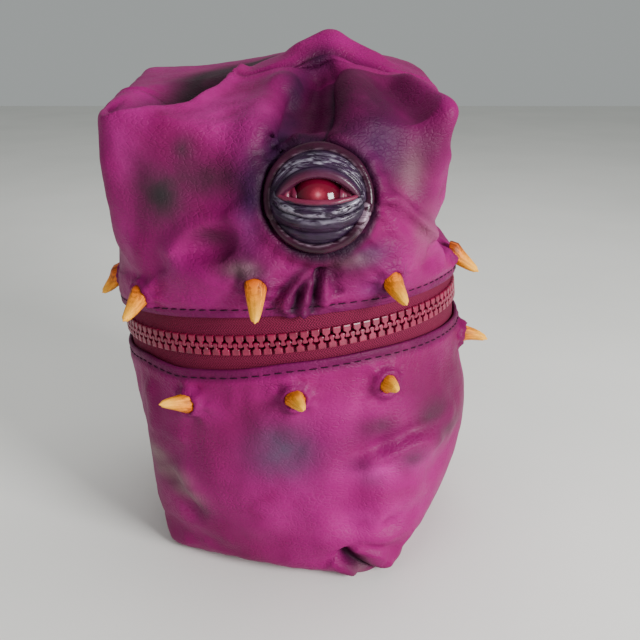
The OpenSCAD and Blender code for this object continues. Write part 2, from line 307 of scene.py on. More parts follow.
def top_height(xy):
    """Height of the bag's top: pinched up behind the eye, sunken on its left."""
    x, y = xy[:, 0], xy[:, 1]
    z = 138 + 0.09 * (y + 44)
    z += 7 * bell(x - 6, np.where(x > 6, 32, 22)) * bell(y + 2, np.where(y > -2, 36, 24))
    z += 8 * np.exp(-abs(x - 12.5) / 9) * bell(y - 6, 11) + 1.3
    z += 2.5 * bell(x - 2, 30) * bell(y - 32, 16) + 2 * bell(x - 30, 12) * bell(y - 18, 14)
    z -= 3.5 * bell(y + 47, 12) * ramp(x, -34, -14) * ramp(-x, -44, -30)
    return z


def flat_bottom(xy):
    return np.zeros(len(xy))


def apart(azimuth, middle):
    return (azimuth - middle + 180) % 360 - 180


def upper_bulge(azimuth, t):
    """How far the upper wall stands out: full in front and behind, caved in on the right."""
    full = 4.5 * bell(apart(azimuth, 5), 58) + 2.5 * bell(apart(azimuth, 180), 60)
    flank = 1.2 * bell(apart(azimuth, 70), 30)
    caved = 4.5 * bell(apart(azimuth, 74), 24) * bell(t - 0.24, 0.17) + flank
    return (full - flank) * math.sin(math.pi * t) - caved * ramp(t, 0.07, 0.17)


def lower_bulge(azimuth, t):
    """How far the lower wall stands out: a belly on the right, and a toe at the front of the bottom."""
    belly = bell(apart(azimuth, 84), 42) * math.sin(math.pi * min(1, t * 0.95)) ** 1.2
    tucked = 2.4 * bell(apart(azimuth, 82), 26) * bell(t - 0.1, 0.12)
    toe = 3.6 * bell(apart(azimuth, 6), 34) * ramp(t, 0.25, 1)
    return 2.0 * math.sin(math.pi * t) + 7 * belly + toe - tucked * ramp(t, 0.07, 0.16)


def build_pouch(name, side, rows, seam, square, height, bulge, rounding):
    """One half of the bag as a coarse leather shell; side is 1 above the mouth and -1 below it."""
    f = np.arange(ROUND) / ROUND
    azimuth = -45 + 360 * f
    lip = lip_at(side, azimuth)
    edge = round_square(f, *square)
    edge3 = np.column_stack([edge, height(edge)])
    walls = [at_mouth(r, azimuth, lip + side * h) for r, h in LIP_ROLL]
    from_lip = [np.full(ROUND, -h) for _, h in LIP_ROLL]
    ring = at_mouth(LEATHER_R, azimuth, lip + side * LIP_EDGE)
    for j in range(rows + 1):
        t = j / rows
        p = ring * (1 - t) + edge3 * t
        out = p[:, :2] / lengths(p[:, :2])[:, None]
        p[:, :2] += out * bulge(azimuth, t)[:, None]
        walls.append(p)
        from_lip.append(lengths(p - ring) + LIP_EDGE)
    inside = fill_square(edge)
    points = np.concatenate(walls + [np.column_stack([inside, height(inside)])])
    all_rows = rows + len(LIP_ROLL)
    faces, front = pouch_faces(all_rows, seam, side < 0)
    obj = make_object(name, points, faces)
    # Round the edge between the wall and the square end.
    rank = np.concatenate([np.repeat(np.arange(all_rows + 1.0), ROUND), np.zeros(len(inside))])
    depth = np.minimum(np.arange(1, SIDE), np.arange(SIDE - 1, 0, -1))
    rank[(all_rows + 1) * ROUND:] = all_rows + np.minimum.outer(depth, depth).ravel()
    edges = read_edges(obj)
    points = smooth_points(points, edges, 0.5 * bell(rank - all_rows, rounding), 6)
    write_points(obj, points)
    paint(obj, "from_lip", np.concatenate(from_lip + [np.full(len(inside), FAR_FROM_LIP)]))
    # Distance from the seam that joins the front panel to the back one.
    turned = 360 * f
    gap = np.minimum(abs(apart(turned, 90 * (1 + seam / SIDE))), abs(apart(turned, 360 - 90 * seam / SIDE)))
    across = abs(np.arange(1, SIDE) - seam) * (END_WIDTH / SIDE)
    paint(obj, "seam", np.concatenate([np.tile(gap * math.radians(1) * SEAM_R, all_rows + 1),
                                       np.tile(across, SIDE - 1)]))
    # Material 0 marks the front panel and material 1 the back one, until they are cut apart.
    for _ in (0, 1):
        obj.data.materials.append(None)
    obj.data.polygons.foreach_set("material_index", [0 if flag else 1 for flag in front])
    return obj


CLOTH_FRAMES = 22
CLOTH_SWELL = 0.02         # how much larger the leather would like to be than its shell


def relax_as_cloth(obj, side, most):
    """Lets the coarse shell buckle and settle as leather, by at most that many millimetres.

    The mouth stays put, and so do the eye's place and the face that the bag stands on.
    """
    rest = read_points(obj)
    group = obj.vertex_groups.new(name="held")
    from_lip = painted(obj, "from_lip")
    held = 1 - ramp(from_lip, 2, 14)
    if side > 0:
        held = np.maximum(held, 1 - ramp(lengths(rest - EYE_CENTRE), 14, 22))
    else:
        held = np.maximum(held, 1 - ramp(rest[:, 2], 0.5, 5))
    for k, weight in enumerate(held):
        group.add([k], float(weight), "REPLACE")
    modifier = obj.modifiers.new("cloth", "CLOTH")
    s = modifier.settings
    s.quality = 6
    s.mass = 0.15
    s.tension_stiffness = s.compression_stiffness = 20
    s.shear_stiffness = 8
    s.bending_stiffness = 1.5
    s.vertex_group_mass = "held"
    s.pin_stiffness = 2
    s.shrink_min = -CLOTH_SWELL
    s.effector_weights.gravity = 0.35
    s.use_pressure = True
    s.uniform_pressure_force = 0.12
    modifier.collision_settings.use_collision = False
    modifier.point_cache.frame_end = CLOTH_FRAMES
    for frame_number in range(1, CLOTH_FRAMES + 1):
        bpy.context.scene.frame_set(frame_number)
    depsgraph = bpy.context.evaluated_depsgraph_get()
    mesh = obj.evaluated_get(depsgraph).to_mesh()
    flat = np.empty(len(mesh.vertices) * 3)
    mesh.vertices.foreach_get("co", flat)
    moved = flat.reshape(-1, 3) / MM - rest
    obj.modifiers.clear()
    obj.vertex_groups.clear()
    bpy.context.scene.frame_set(1)
    size = lengths(moved)[:, None]
    capped = moved * np.tanh(size / most) * most / np.maximum(size, 1e-6)
    write_points(obj, rest + capped)


# ---------- the eye's own frame, from its CAD pieces ----------

def node_points(name):
    return np.array([v.co for v in frame["nodes"][name].data.vertices]) / MM


DISC_ABOVE_LEATHER = 3.35


def eye_frame():
    """The eye's centre on the leather, and its axes: right, up along the leather and out of it."""
    disc = node_points("iris_disc")
    centre = disc.mean(axis=0)
    _, _, axes = np.linalg.svd(disc - centre)
    out = axes[2] * (-1 if axes[2] @ np.array([0, -1, 0]) < 0 else 1)
    right = np.array([1.0, 0, 0])
    up = np.cross(out, right)
    return centre - out * DISC_ABOVE_LEATHER, right, up, out


EYE_CENTRE, EYE_RIGHT, EYE_UP, EYE_OUT = eye_frame()


def at_eye(x, y, z):
    x, y, z = np.broadcast_arrays(x, y, z)
    return EYE_CENTRE + x[..., None] * EYE_RIGHT + y[..., None] * EYE_UP + z[..., None] * EYE_OUT


CLAW_SINK = 1.4            # how deep a CAD claw is sunk in its panel


def claw_frame(name):
    """A claw's base centre, its outward axis there, and the middle and tip of its horn."""
    points = node_points(name)
    radius, _, _ = mouth_coordinates(points)
    base = points[radius < radius.min() + 0.3].mean(axis=0)
    _, azimuth, _ = mouth_coordinates(base[None])
    out = at_mouth(1.0, azimuth, 0.0)[0] - MOUTH_CENTRE
    far = lengths(points - base)
    tip = points[far.argmax()]
    share = (points - base) @ (tip - base) / far.max() ** 2
    middle = points[abs(share - 0.6) < 0.07].mean(axis=0)
    return {"base": base + out * CLAW_SINK, "out": out, "middle": middle, "tip": tip}


CLAWS = {name: claw_frame(name) for name in frame["nodes"] if name.startswith("claw_")}


# ---------- leather: folds, puckers and seams pressed into the surface ----------

def on_surface(points, path, count=14):
    """A path of a few points, drawn finer and laid on the surface."""
    path = np.asarray(path, float)
    s = arc_length(path)
    fine = np.stack([np.interp(np.linspace(0, s[-1], count), s, path[:, k]) for k in range(3)], axis=1)
    snapped = np.array([points[np.argmin(((points - p) ** 2).sum(axis=1))] for p in fine])
    return smooth_line(snapped)


def smooth_line(line):
    line = line.copy()
    for _ in range(2):
        line[1:-1] = (line[:-2] + 2 * line[1:-1] + line[2:]) / 4
    return line


def near_path(points, path):
    """Distance from each point to a line, how far along it, 0 to 1, and the way back to it."""
    along = arc_length(path)
    along = along / along[-1]
    best, where, back = np.full(len(points), 1e9), np.zeros(len(points)), np.zeros_like(points)
    for k in range(len(path) - 1):
        step = path[k + 1] - path[k]
        t = np.clip((points - path[k]) @ step / max(step @ step, 1e-9), 0, 1)
        gap = path[k] + t[:, None] * step - points
        d = lengths(gap)
        closer = d < best
        best[closer] = d[closer]
        where[closer] = (along[k] + t * (along[k + 1] - along[k]))[closer]
        back[closer] = gap[closer]
    return best, where, back


class Sculpt:
    """A leather shell's points and normals while folds are pressed into it.

    Some folds also leave amounts from 0 to 1 for the materials: a dark glaze and painted shade along
    creases, and the fallen and valley masks.
    """

    def __init__(self, obj):
        self.obj = obj
        self.points = read_points(obj)
        self.normals = read_normals(obj)
        self.from_lip = painted(obj, "from_lip")
        self.seam = painted(obj, "seam")
        self.glaze_and_shade = np.zeros(len(self.points))

    def refresh(self):
        write_points(self.obj, self.points)
        self.normals = read_normals(self.obj)

    def push(self, amount):
        self.points = self.points + self.normals * amount[:, None]

    def fold(self, path, width, height, pinch=0.0, fade=0.25, glaze_and_shade=0.0):
        """A ridge, or a crease if height is negative, along a path; pinch draws its sides together.

        It dies away over the share fade at both ends, and a crease also near the lip.
        """
        d, t, back = near_path(self.points, on_surface(self.points, path))
        ends = ramp(t, 0, fade) * ramp(-t, -1, -1 + fade)
        ends = ends * (self.from_lip > 0)
        shape = bell(d, width) * ends
        if height < 0:
            shape = shape * (0.15 + 0.85 * ramp(self.from_lip, 2.8, 5.8))
        self.push(height * shape)
        if pinch:
            self.points = self.points + back * (pinch * bell(d, width * 1.6) * ends)[:, None]
        # A fold can darken the leather along it: painted shade in its crease.
        self.glaze_and_shade = np.maximum(self.glaze_and_shade, glaze_and_shade * bell(d, width * 1.3) * ends)

    def folds(self, *rows):
        for path, width, height in rows:
            self.fold(path, width, height)

    def blob(self, centre, width, height, stretch=(1, 1, 1)):
        """A soft bump or dent."""
        d = lengths((self.points - centre) / np.array(stretch))
        self.push(height * bell(d, width))

    def crinkle(self, centre, reach, height, seed):
        """A patch of small sharp wrinkles, as where soft leather is squeezed together."""
        d = lengths(self.points - centre)
        near = np.flatnonzero(d < 2.2 * reach)
        lines = 1 - 2.2 * np.abs(fractal(self.points[near] * (1, 1, 1.7), 4.2, seed, 3))
        self.points[near] += self.normals[near] * (height * lines * bell(d[near], reach))[:, None]

    def claw_collar(self, claw, seed, height):
        """The leather stands up round a claw and is puckered where it is glued."""
        nearest = self.points[np.argmin(((self.points - claw["base"]) ** 2).sum(axis=1))]
        claw["shift"] = claw["out"] * float((nearest - claw["base"]) @ claw["out"])
        rel = self.points - (claw["base"] + claw["shift"])
        flat = rel - np.outer(rel @ claw["out"], claw["out"])
        rho = lengths(flat)
        near = (lengths(rel) < 14) & (self.from_lip > 1)
        side = np.cross(claw["out"], MOUTH_UP)
        theta = np.arctan2(flat @ MOUTH_UP, flat @ side)
        collar = height * bell(rho - 3.2, 1.0) + 0.5 * bell(rho, 6.5)
        puckers = 0.42 * np.cos(7 * theta + seed + 1.5 * np.sin(2 * theta)) * bell(rho - 4.9, 2.1)
        self.push((collar + puckers - 1.2 * bell(rho, 2.2)) * near)


def sculpt_upper(obj):
    s = Sculpt(obj)
    p = s.points
    x, y, z = p[:, 0], p[:, 1], p[:, 2]
    top = ramp(z, 134, 139)
    # The left of the top has fallen in behind the front panel's folded edge.
    edge = np.array([(-44, -44.5), (-35, -43), (-24, -33), (-18.5, -21), (-15.5, -9), (-14, 0)])
    d, t, back = near_path(np.column_stack([x, y, 0 * x]), np.column_stack([edge, 0 * edge[:, 0]]))
    behind = np.sign(back[:, 0] * 0.75 - back[:, 1] * 0.75) * d
    fallen = ramp(behind, -0.5, 4.5) * ramp(-behind, -26, -12) * top * ramp(x, -46.5, -40)
    s.points = s.points - np.outer(7.5 * fallen * ramp(-t, -1, -0.75), [0, 0, 1])
    s.points = s.points + np.outer(2.6 * bell(d, 2.2) * top * (behind < 1), [0, 0, 1])
    s.fallen = fallen
    s.refresh()
    # Sewn seam along the top, with the leather behind it drawn up to a peak; its groove is darkened with
    # painted shade.
    s.fold([(-16, -7, 146.5), (-2, -8, 146), (7, -5, 149.5), (10, -4, 150), (14, -4, 149.5), (23, -6, 147.5),
            (31, -9, 146)], 1.2, -3.0, pinch=0.2, fade=0.06, glaze_and_shade=0.7)
    s.fold([(-3, 0, 148), (4, 2, 150), (11, 4, 152.5), (18, 3, 151), (27, 0, 149), (33, -3, 147)],
           4.0, 2.2, fade=0.2)
    s.refresh()
    # The valley that runs from the peak down to the eye, between two lobes, darkened along its floor partly
    # by a dark glaze and partly by painted shade.
    s.fold([(9.5, -6, 150), (9, -14, 147), (8, -30, 142), (7, -42, 135), (6, -47, 127)],
           5.2, -6.4, fade=0.12, glaze_and_shade=0.4)
    s.refresh()
    s.fold([(7, -22, 144), (5, -34, 140), (2.5, -43, 134), (-1, -48, 126), (-3.5, -50, 119)],
           6.0, -4.6, fade=0.2, glaze_and_shade=0.3)
    s.refresh()
    s.fold([(11, -6, 149), (9.6, -14, 146), (9.5, -28, 141), (9.2, -39, 136), (8.8, -44, 131),
            (8.4, -47, 126)], 1.6, -2.2, fade=0.12, glaze_and_shade=0.95)
    s.refresh()
    floor_line = on_surface(s.points, [(9, -8, 149), (7, -20, 145), (5, -34, 139), (2.5, -43, 133),
                                       (-2, -48, 125), (-6, -50, 116)])
    s.valley = bell(near_path(s.points, floor_line)[0], 5.0)
    s.fold([(2, -9, 146.5), (-1, -28, 143), (-4, -42, 136), (-10, -48, 124), (-13, -49, 116)],
           4.5, 3.0, fade=0.25)
    s.fold([(17.5, -10, 147), (18, -28, 143), (20, -42, 136), (25, -46, 126)], 5, 2.8, fade=0.3)
    # Right: a fold from the end of the seam to the front corner, and creases under it.
    s.folds(([(30, -9, 147.5), (35, -20, 145), (40, -32, 141.5), (43, -41, 136), (44, -41, 126)], 3.0, 3.0),
            ([(25, -14, 146.5), (30, -27, 143.5), (33, -39, 138), (31, -45, 130)], 4, -2.2),
            ([(40, -12, 144.5), (43, -22, 142), (45, -32, 138)], 2.2, -2.0))
    s.blob((33.5, -43, 118), 6.5, -2.4, (1, 1, 1.3))
    s.fold([(21.5, -48.5, 117.5), (26.9, -47, 115.7), (31, -45, 113.2), (34.2, -42, 110), (38, -37, 105),
            (42, -30, 99), (46, -22, 94)], 2.3, 2.9, pinch=0.15, fade=0.12)
    s.blob((29, -46, 102), 7, 1.3, (1.2, 1, 1))
    s.fold([(24, -49.5, 108), (30, -47, 103.5), (34, -44, 98)], 1.8, -1.1)
    s.fold([(46, -36, 128), (47, -30, 116), (47, -26, 106)], 3, 1.4)
    # Left: a fold runs out from the rim and bends down to a claw, with a hollow inside it.
    s.fold([(-6, -51, 111.4), (-12.7, -51, 111.3), (-19, -50, 110.3), (-24, -49, 107.5), (-28.3, -47, 101.8),
            (-32.0, -44, 97.0)], 3.4, 2.6, fade=0.2)
    s.blob((-15, -51.5, 104.5), 5.6, -2.6, (1.5, 1, 0.9))
    s.blob((-20, -50, 96.5), 5.5, 1.5, (1.4, 1, 0.8))
    s.blob((-22, -49, 118), 8, -1.6, (1.2, 1, 1))
    # This crease is darkened with painted shade.
    s.fold([(-38, -42.5, 137.5), (-40.5, -31, 141.5), (-43, -20, 143)], 1.0, -1.9, pinch=0.2, glaze_and_shade=0.5)
    s.fold([(-45, -41, 133), (-45, -40, 120), (-47, -35, 106), (-48, -27, 92)], 3.5, 1.3)
    s.fold([(-39, -45, 130), (-38, -45, 116), (-40, -40, 100)], 4, -1.3)
    s.refresh()
    for centre, reach, height, seed in (((19.3, -51, 101), 6, 0.75, 3), ((-10.6, -52, 98), 5, 0.6, 5),
                                        ((-17, -46, 134), 12, 0.28, 11),
                                        ((25, -48.5, 112), 4, 0.6, 13), ((8, -52.5, 90), 7, 0.45, 17)):
        s.crinkle(np.array(centre), reach, height, seed)
    s.refresh()
    # The leather lies flat under the eye and is gathered round its rim.
    rel = s.points - EYE_CENTRE
    ex, ey, ez = rel @ EYE_RIGHT, rel @ EYE_UP, rel @ EYE_OUT
    rho, theta = np.hypot(ex, ey), np.arctan2(ey, ex)
    front = (abs(ez) < 14) & (s.points[:, 1] < -25)
    hold = (1 - ramp(rho, 12.5, 17.5)) * front
    s.points = s.points + np.outer((0.1 - ez) * hold, EYE_OUT)
    s.refresh()
    cuff = 1.2 * bell(rho - 15.0, 1.3) * front
    wrinkle = np.cos(17 * theta + 2.5 * np.sin(3 * theta))
    wrinkle += 0.7 * np.cos(29 * theta + 2 * np.sin(2 * theta + 1))
    right = 0.35 + 0.65 * ramp(np.cos(theta - math.radians(-15)), -0.3, 0.8)
    s.push(cuff + 0.42 * wrinkle * bell(rho - 16.8, 2.4) * right * front)
    for bump_x, bump_y, size, height in ((-4.8, 13.2, 2.1, 1.7), (-8.2, 10.6, 1.6, 1.2),
                                         (3.5, 16.5, 2.4, 0.9)):
        s.push(height * bell(np.hypot(ex - bump_x, ey - bump_y), size) * front)
    # A dark ring at the rim, partly a dark glaze and partly painted shade where the leather meets it, and a
    # painted shadow on the eye's upper left.
    s.glaze_and_shade = np.maximum(s.glaze_and_shade, 0.95 * (1 - ramp(rho, 13.8, 16.4)) * front)
    side_shade = bell(np.hypot(ex + 13, (ey - 7) / 2.2), 5.5) * front
    s.glaze_and_shade = np.maximum(s.glaze_and_shade, 0.85 * side_shade)
    # Pleats pinched together under the eye, their creases darkened with painted shade.
    s.refresh()
    for path, width, height, pinch, dark in (
            ([(9, -49, 102), (8.6, -51.5, 96), (8.2, -53, 91), (7.6, -53, 86)], 1.2, -2.4, 0.12, 0.9),
            ([(8.6, -49, 102), (6, -51.5, 96.5), (3.8, -52.5, 92.6), (2.4, -53, 86)], 1.2, -2.4, 0.12, 0.9),
            ([(8.0, -49, 102), (2.8, -52, 96.4), (-1.4, -52.5, 92), (-3, -53, 88)], 1.2, -1.4, 0.1, 0.6),
            ([(10.0, -49, 102), (12.5, -51.5, 96), (15, -52.5, 91)], 1.3, -1.3, 0.1, 0.5),
            ([(8.4, -49.5, 101), (6.8, -52, 94.5), (5.4, -53, 90), (5.0, -53, 86)], 1.3, 1.7, 0, 0),
            ([(7.2, -49.5, 101), (3.2, -52, 94.6), (0.8, -53, 90), (0, -53, 87)], 1.4, 1.5, 0, 0),
            ([(9.8, -49.5, 101), (10.4, -52, 94.5), (11, -53, 88)], 1.4, 1.5, 0, 0)):
        s.fold(path, width, height, pinch=pinch, fade=0.06, glaze_and_shade=dark)
    # The leather right of the valley's foot is smooth.
    calm = bell(lengths(s.points - (18, -45, 131)), 8)
    s.points = smooth_points(s.points, read_edges(s.obj), 0.6 * calm, 12)
    s.blob((2.0, -53, 87.0), 1.8, 1.3)
    s.blob((6.2, -53, 86.5), 1.5, 1.0)
    s.refresh()
    finish_sculpt(s, UP_CLAWS, -0.9, 21)
    return s


def sculpt_lower(obj):
    s = Sculpt(obj)
    s.folds(([(-37, -36, 33), (-31, -39.5, 25), (-26, -42, 15)], 3.6, -1.9),
            ([(-33, -37, 36), (-27, -41, 28), (-21, -44, 20)], 3.6, 1.0),
            ([(-30, -39, 46), (-31, -38, 38), (-36, -35, 28)], 5, -1.2))
    # The bottom corner is tucked into a short, deep dart, darkened inside with painted shade.
    s.fold([(15, -50, 12), (19, -48, 7.5), (23, -46, 4), (29, -42, 1.5)], 1.7, -3.4,
           pinch=0.25, fade=0.1, glaze_and_shade=0.85)
    s.fold([(13, -51, 8), (17, -50, 4), (21, -48, 1)], 2.2, 1.4, fade=0.1)
    s.fold([(19, -48, 13), (24, -45, 9), (30, -41, 5)], 1.8, 1.9, fade=0.1)
    # Creases across the right of it, then long soft ones over the front.
    s.folds(([(31, -39, 7), (38, -32, 9), (46, -22, 12)], 2.2, -1.5),
            ([(20, -47, 17), (29, -42, 15), (40, -33, 18)], 2.6, 1.1),
            ([(13, -48, 24), (22, -45, 19), (33, -39, 18)], 3.6, -1.1),
            ([(34, -38, 30), (42, -28, 34), (48, -17, 41)], 4.5, -1.5),
            ([(30, -42, 38), (38, -34, 43), (46, -24, 50)], 4.0, 1.0),
            ([(17, -47, 39), (25, -43, 42), (33, -37, 43), (41, -27, 42)], 1.7, 1.5),
            ([(17, -47, 43), (25, -43, 45.5), (33, -37, 46.5), (41, -27, 46)], 2.2, -1.4),
            ([(-6, -50, 52), (0, -51, 47), (6, -51, 44)], 5, -0.9),
            ([(-15, -48, 40), (-8, -49, 28), (-6, -47, 14)], 7, 1.0),
            ([(5, -49, 34), (9, -49, 22), (15, -48, 9)], 6, 0.8),
            ([(-40, -34, 62), (-38, -36, 52), (-39, -33, 42)], 4, 1.0))
    s.refresh()
    finish_sculpt(s, LOW_CLAWS, -0.9, 57)
    return s


UP_CLAWS = [name for name in CLAWS if "upper" in name]
LOW_CLAWS = [name for name in CLAWS if "lower" in name]


def finish_sculpt(s, claws, seam_depth, seed):
    """What both halves share: claw collars, soft unevenness, the sewn seam and the stitched edge."""
    for k, name in enumerate(claws):
        s.claw_collar(CLAWS[name], k * 1.7, 1.6 if "upper" in name else 2.4)
    s.refresh()
    uneven = 0.55 * fractal(s.points, 24, seed) * ramp(s.from_lip, 2, 16)
    s.push(uneven + 0.16 * fractal(s.points, 7, seed + 1) * ramp(s.from_lip, 1, 6))
    away = ramp(s.from_lip, 3, 10)
    s.push(seam_depth * bell(s.seam, 0.8) * away + 0.45 * bell(s.seam - 2.2, 1.4) * away)
    s.refresh()
    s.points = smooth_points(s.points, read_edges(s.obj), 0.4 * ramp(s.from_lip, 5, 8), 2)
    outside = s.from_lip > 0.5
    s.push(-0.3 * bell(s.from_lip - 2.6, 0.55) * outside + 0.22 * bell(s.from_lip - 4.6, 1.2) * outside)
    s.refresh()


# ---------- materials ----------

class Nodes:
    """Builds a material's node tree. An input is a number, a colour or another node's output."""

    SETTINGS = ("operation", "feature", "attribute_name")

    def __init__(self, name):
        self.material = bpy.data.materials.new(name)
        self.material.use_nodes = True
        self.tree = self.material.node_tree
        self.shader = self.tree.nodes["Principled BSDF"]

    def node(self, kind, out=0, **inputs):
        node = self.tree.nodes.new(kind)
        for key in self.SETTINGS:
            if key in inputs:
                setattr(node, key, inputs.pop(key))
        for key, value in inputs.items():
            numbered = key[0] == "i" and key[1:].isdigit()
            self.set(node.inputs[int(key[1:]) if numbered else key.replace("_", " ")], value)
        return node.outputs[out]

    def set(self, socket, value):
        if isinstance(value, bpy.types.NodeSocket):
            self.tree.links.new(value, socket)
        else:
            socket.default_value = value

    def math(self, operation, a, b=0.0):
        return self.node("ShaderNodeMath", operation=operation, i0=a, i1=b)

    def scaled(self, value, low, high):
        """Maps low..high of a value to 0..1, clamped."""
        node = self.tree.nodes.new("ShaderNodeMapRange")
        self.set(node.inputs[0], value)
        node.inputs[1].default_value, node.inputs[2].default_value = low, high
        return node.outputs[0]

    def mix(self, share, a, b):
        node = self.tree.nodes.new("ShaderNodeMix")
        node.data_type = "RGBA"
        self.set(node.inputs["Factor"], share)
        self.set(node.inputs[6], a if isinstance(a, bpy.types.NodeSocket) else (*a, 1))
        self.set(node.inputs[7], b if isinstance(b, bpy.types.NodeSocket) else (*b, 1))
        return node.outputs[2]

    def ramp(self, value, *stops):
        node = self.tree.nodes.new("ShaderNodeValToRGB")
        elements = node.color_ramp.elements
        while len(elements) < len(stops):
            elements.new(0.5)
        for element, (place, color) in zip(elements, stops):
            element.position = place
            element.color = (*color, 1)
        self.set(node.inputs[0], value)
        return node.outputs[0]

    def place(self):
        return self.node("ShaderNodeTexCoord", out=3)

    def attribute(self, name):
        return self.node("ShaderNodeAttribute", out=2, attribute_name=name)

    def noise(self, scale, detail=3.0, vector=None, roughness=0.55, distortion=0.0):
        return self.node("ShaderNodeTexNoise", Vector=vector or self.place(), Scale=scale, Detail=detail,
                         Roughness=roughness, Distortion=distortion)

    def voronoi(self, scale, feature="F1", vector=None):
        return self.node("ShaderNodeTexVoronoi", feature=feature, Vector=vector or self.place(), Scale=scale)

    def bump(self, height, distance, strength=1.0, below=None):
        node = self.tree.nodes.new("ShaderNodeBump")
        node.inputs["Strength"].default_value = strength
        node.inputs["Distance"].default_value = distance
        self.set(node.inputs["Height"], height)
        if below is not None:
            self.set(node.inputs["Normal"], below)
        return node.outputs[0]

    def finish(self, color, roughness, normal=None, **constants):
        self.set(self.shader.inputs["Base Color"], color)
        self.set(self.shader.inputs["Roughness"], roughness)
        if normal is not None:
            self.set(self.shader.inputs["Normal"], normal)
        for key, value in constants.items():
            self.shader.inputs[key.replace("_", " ")].default_value = value
        return self.material


def leather_material():
    """Soft milled vinyl leather, magenta, hand-shaded with darker glazes and smudges, with painted shade in
    its creases and painted highlights on its grain and on the faces that catch the light.
    """
    n = Nodes("leather")
    place = n.place()
    drift = n.noise(22, 3)
    speckle = n.noise(90, 4)
    color = n.mix(n.scaled(drift, 0.38, 0.62), (0.150, 0.0006, 0.062), (0.228, 0.0012, 0.108))
    color = n.mix(n.math("MULTIPLY", n.scaled(speckle, 0.45, 0.7), 0.35), color, (0.13, 0.001, 0.036))
    # Milled grain: small pebbles between fine creases that run together.
    warped = n.node("ShaderNodeVectorMath", operation="ADD", i0=place,
                    i1=n.node("ShaderNodeVectorMath", operation="SCALE",
                              i0=n.node("ShaderNodeTexNoise", out=1, Vector=place, Scale=260.0, Detail=2.0),
                              Scale=0.0014))
    stretched = n.node("ShaderNodeVectorMath", operation="MULTIPLY", i0=warped, i1=(0.8, 0.8, 1.25))
    creases = n.scaled(n.voronoi(760, "DISTANCE_TO_EDGE", stretched), 0.0, 0.2)
    # The tops of the pebbles are lightened: a painted highlight on the grain.
    pebble_highlight = n.math("MULTIPLY", n.math("SUBTRACT", 1.0, creases), n.scaled(n.noise(45, 3), 0.48, 0.72))
    color = n.mix(n.math("MULTIPLY", pebble_highlight, 0.09), color, (0.55, 0.14, 0.38))
    # Hand shading and painted light: each painted attribute, how ragged it is, and the glaze it lays on. The
    # first glaze is a painted highlight and the second dark airbrush with painted shade.
    ragged = n.scaled(n.noise(90, 4), 0.0, 0.55)
    glazes = (("painted_highlight", n.scaled(speckle, 0.3, 0.65), (0.40, 0.016, 0.22)),
              ("airbrush_and_shade", n.scaled(n.noise(60, 3), -0.1, 0.5), (0.030, 0.0005, 0.014)),
              ("green", ragged, (0.022, 0.016, 0.019)), ("violet", ragged, (0.030, 0.007, 0.055)),
              ("grey", ragged, (0.20, 0.12, 0.13)))
    for name, pattern, glaze in glazes:
        color = n.mix(n.math("MULTIPLY", n.attribute(name), pattern), color, glaze)
    # A near-black purple glaze: partly real dark paint on the lip bands and round the eye, and partly
    # painted shade in creases, seams, pleats and round the claws.
    glaze_and_shade = n.math("MULTIPLY", n.attribute("glaze_and_shade"), n.scaled(n.noise(160, 4), 0.05, 0.5))
    color = n.mix(glaze_and_shade, color, (0.010, 0.001, 0.010))
    fine = n.scaled(n.voronoi(1500, "F1", warped), 0.0, 0.7)
    deep = n.scaled(n.noise(120, 2), 0.35, 0.7)
    grain = n.bump(fine, 0.00007, 0.5)
    grain = n.bump(n.math("MULTIPLY", creases, n.math("ADD", deep, 0.35)), 0.00015, 0.55, grain)
    grain = n.bump(n.noise(190, 3), 0.0005, 0.25, grain)
    shaded = n.math("MAXIMUM", glaze_and_shade, n.attribute("airbrush_and_shade"))
    rough = n.math("ADD", n.math("MULTIPLY", n.noise(240, 3), 0.18), 0.38)
    rough = n.math("ADD", rough, n.math("MULTIPLY", shaded, 0.12))
    return n.finish(color, rough, grain, Specular_IOR_Level=0.14)


def backing_material():
    """The knitted cloth on the inside of the leather."""
    n = Nodes("leather_backing")
    place = n.place()
    knit = n.voronoi(1100, "F1")
    color = n.mix(n.scaled(knit, 0.2, 0.7), (0.16, 0.09, 0.13), (0.06, 0.03, 0.05))
    color = n.mix(n.scaled(n.noise(60, 4, place), 0.4, 0.7), color, (0.11, 0.05, 0.09))
    return n.finish(color, 0.92, n.bump(knit, 0.0002, 0.8), Sheen_Weight=0.2)


def tape_material():
    """Woven zip tape: small chevrons across it and a ribbed edge."""
    n = Nodes("zip_tape")
    uv = n.node("ShaderNodeTexCoord", out=2)
    split = n.tree.nodes.new("ShaderNodeSeparateXYZ")
    n.set(split.inputs[0], uv)
    along, across = split.outputs[0], split.outputs[1]
    zigzag = n.node("ShaderNodeMath", operation="PINGPONG", i0=across, i1=1.3)
    slant = n.math("ADD", along, zigzag)
    ribs = n.math("SINE", n.math("MULTIPLY", slant, 2 * math.pi / 0.75))
    rows = n.math("SINE", n.math("MULTIPLY", across, 2 * math.pi / 0.42))
    weave = n.math("ADD", n.math("MULTIPLY", ribs, 0.6), n.math("MULTIPLY", rows, 0.4))
    level = n.scaled(weave, -1.0, 1.0)
    color = n.mix(level, (0.030, 0.0004, 0.007), (0.20, 0.004, 0.045))
    color = n.mix(n.scaled(n.noise(70, 3), 0.4, 0.75), color, (0.12, 0.002, 0.025))
    return n.finish(color, 0.82, n.bump(level, 0.00022, 0.9), Specular_IOR_Level=0.25)


def moulded_material(name, light, dark, roughness, coat):
    """Glossy moulded or painted parts, with faint wear and flow marks."""
    n = Nodes(name)
    color = n.mix(n.scaled(n.noise(450, 3), 0.35, 0.7), light, dark)
    rough = n.math("ADD", n.math("MULTIPLY", n.noise(900, 2), 0.18), roughness)
    return n.finish(color, rough, n.bump(n.noise(1400, 2), 0.00006, 0.5), Coat_Weight=coat,
                    Coat_Roughness=0.15)


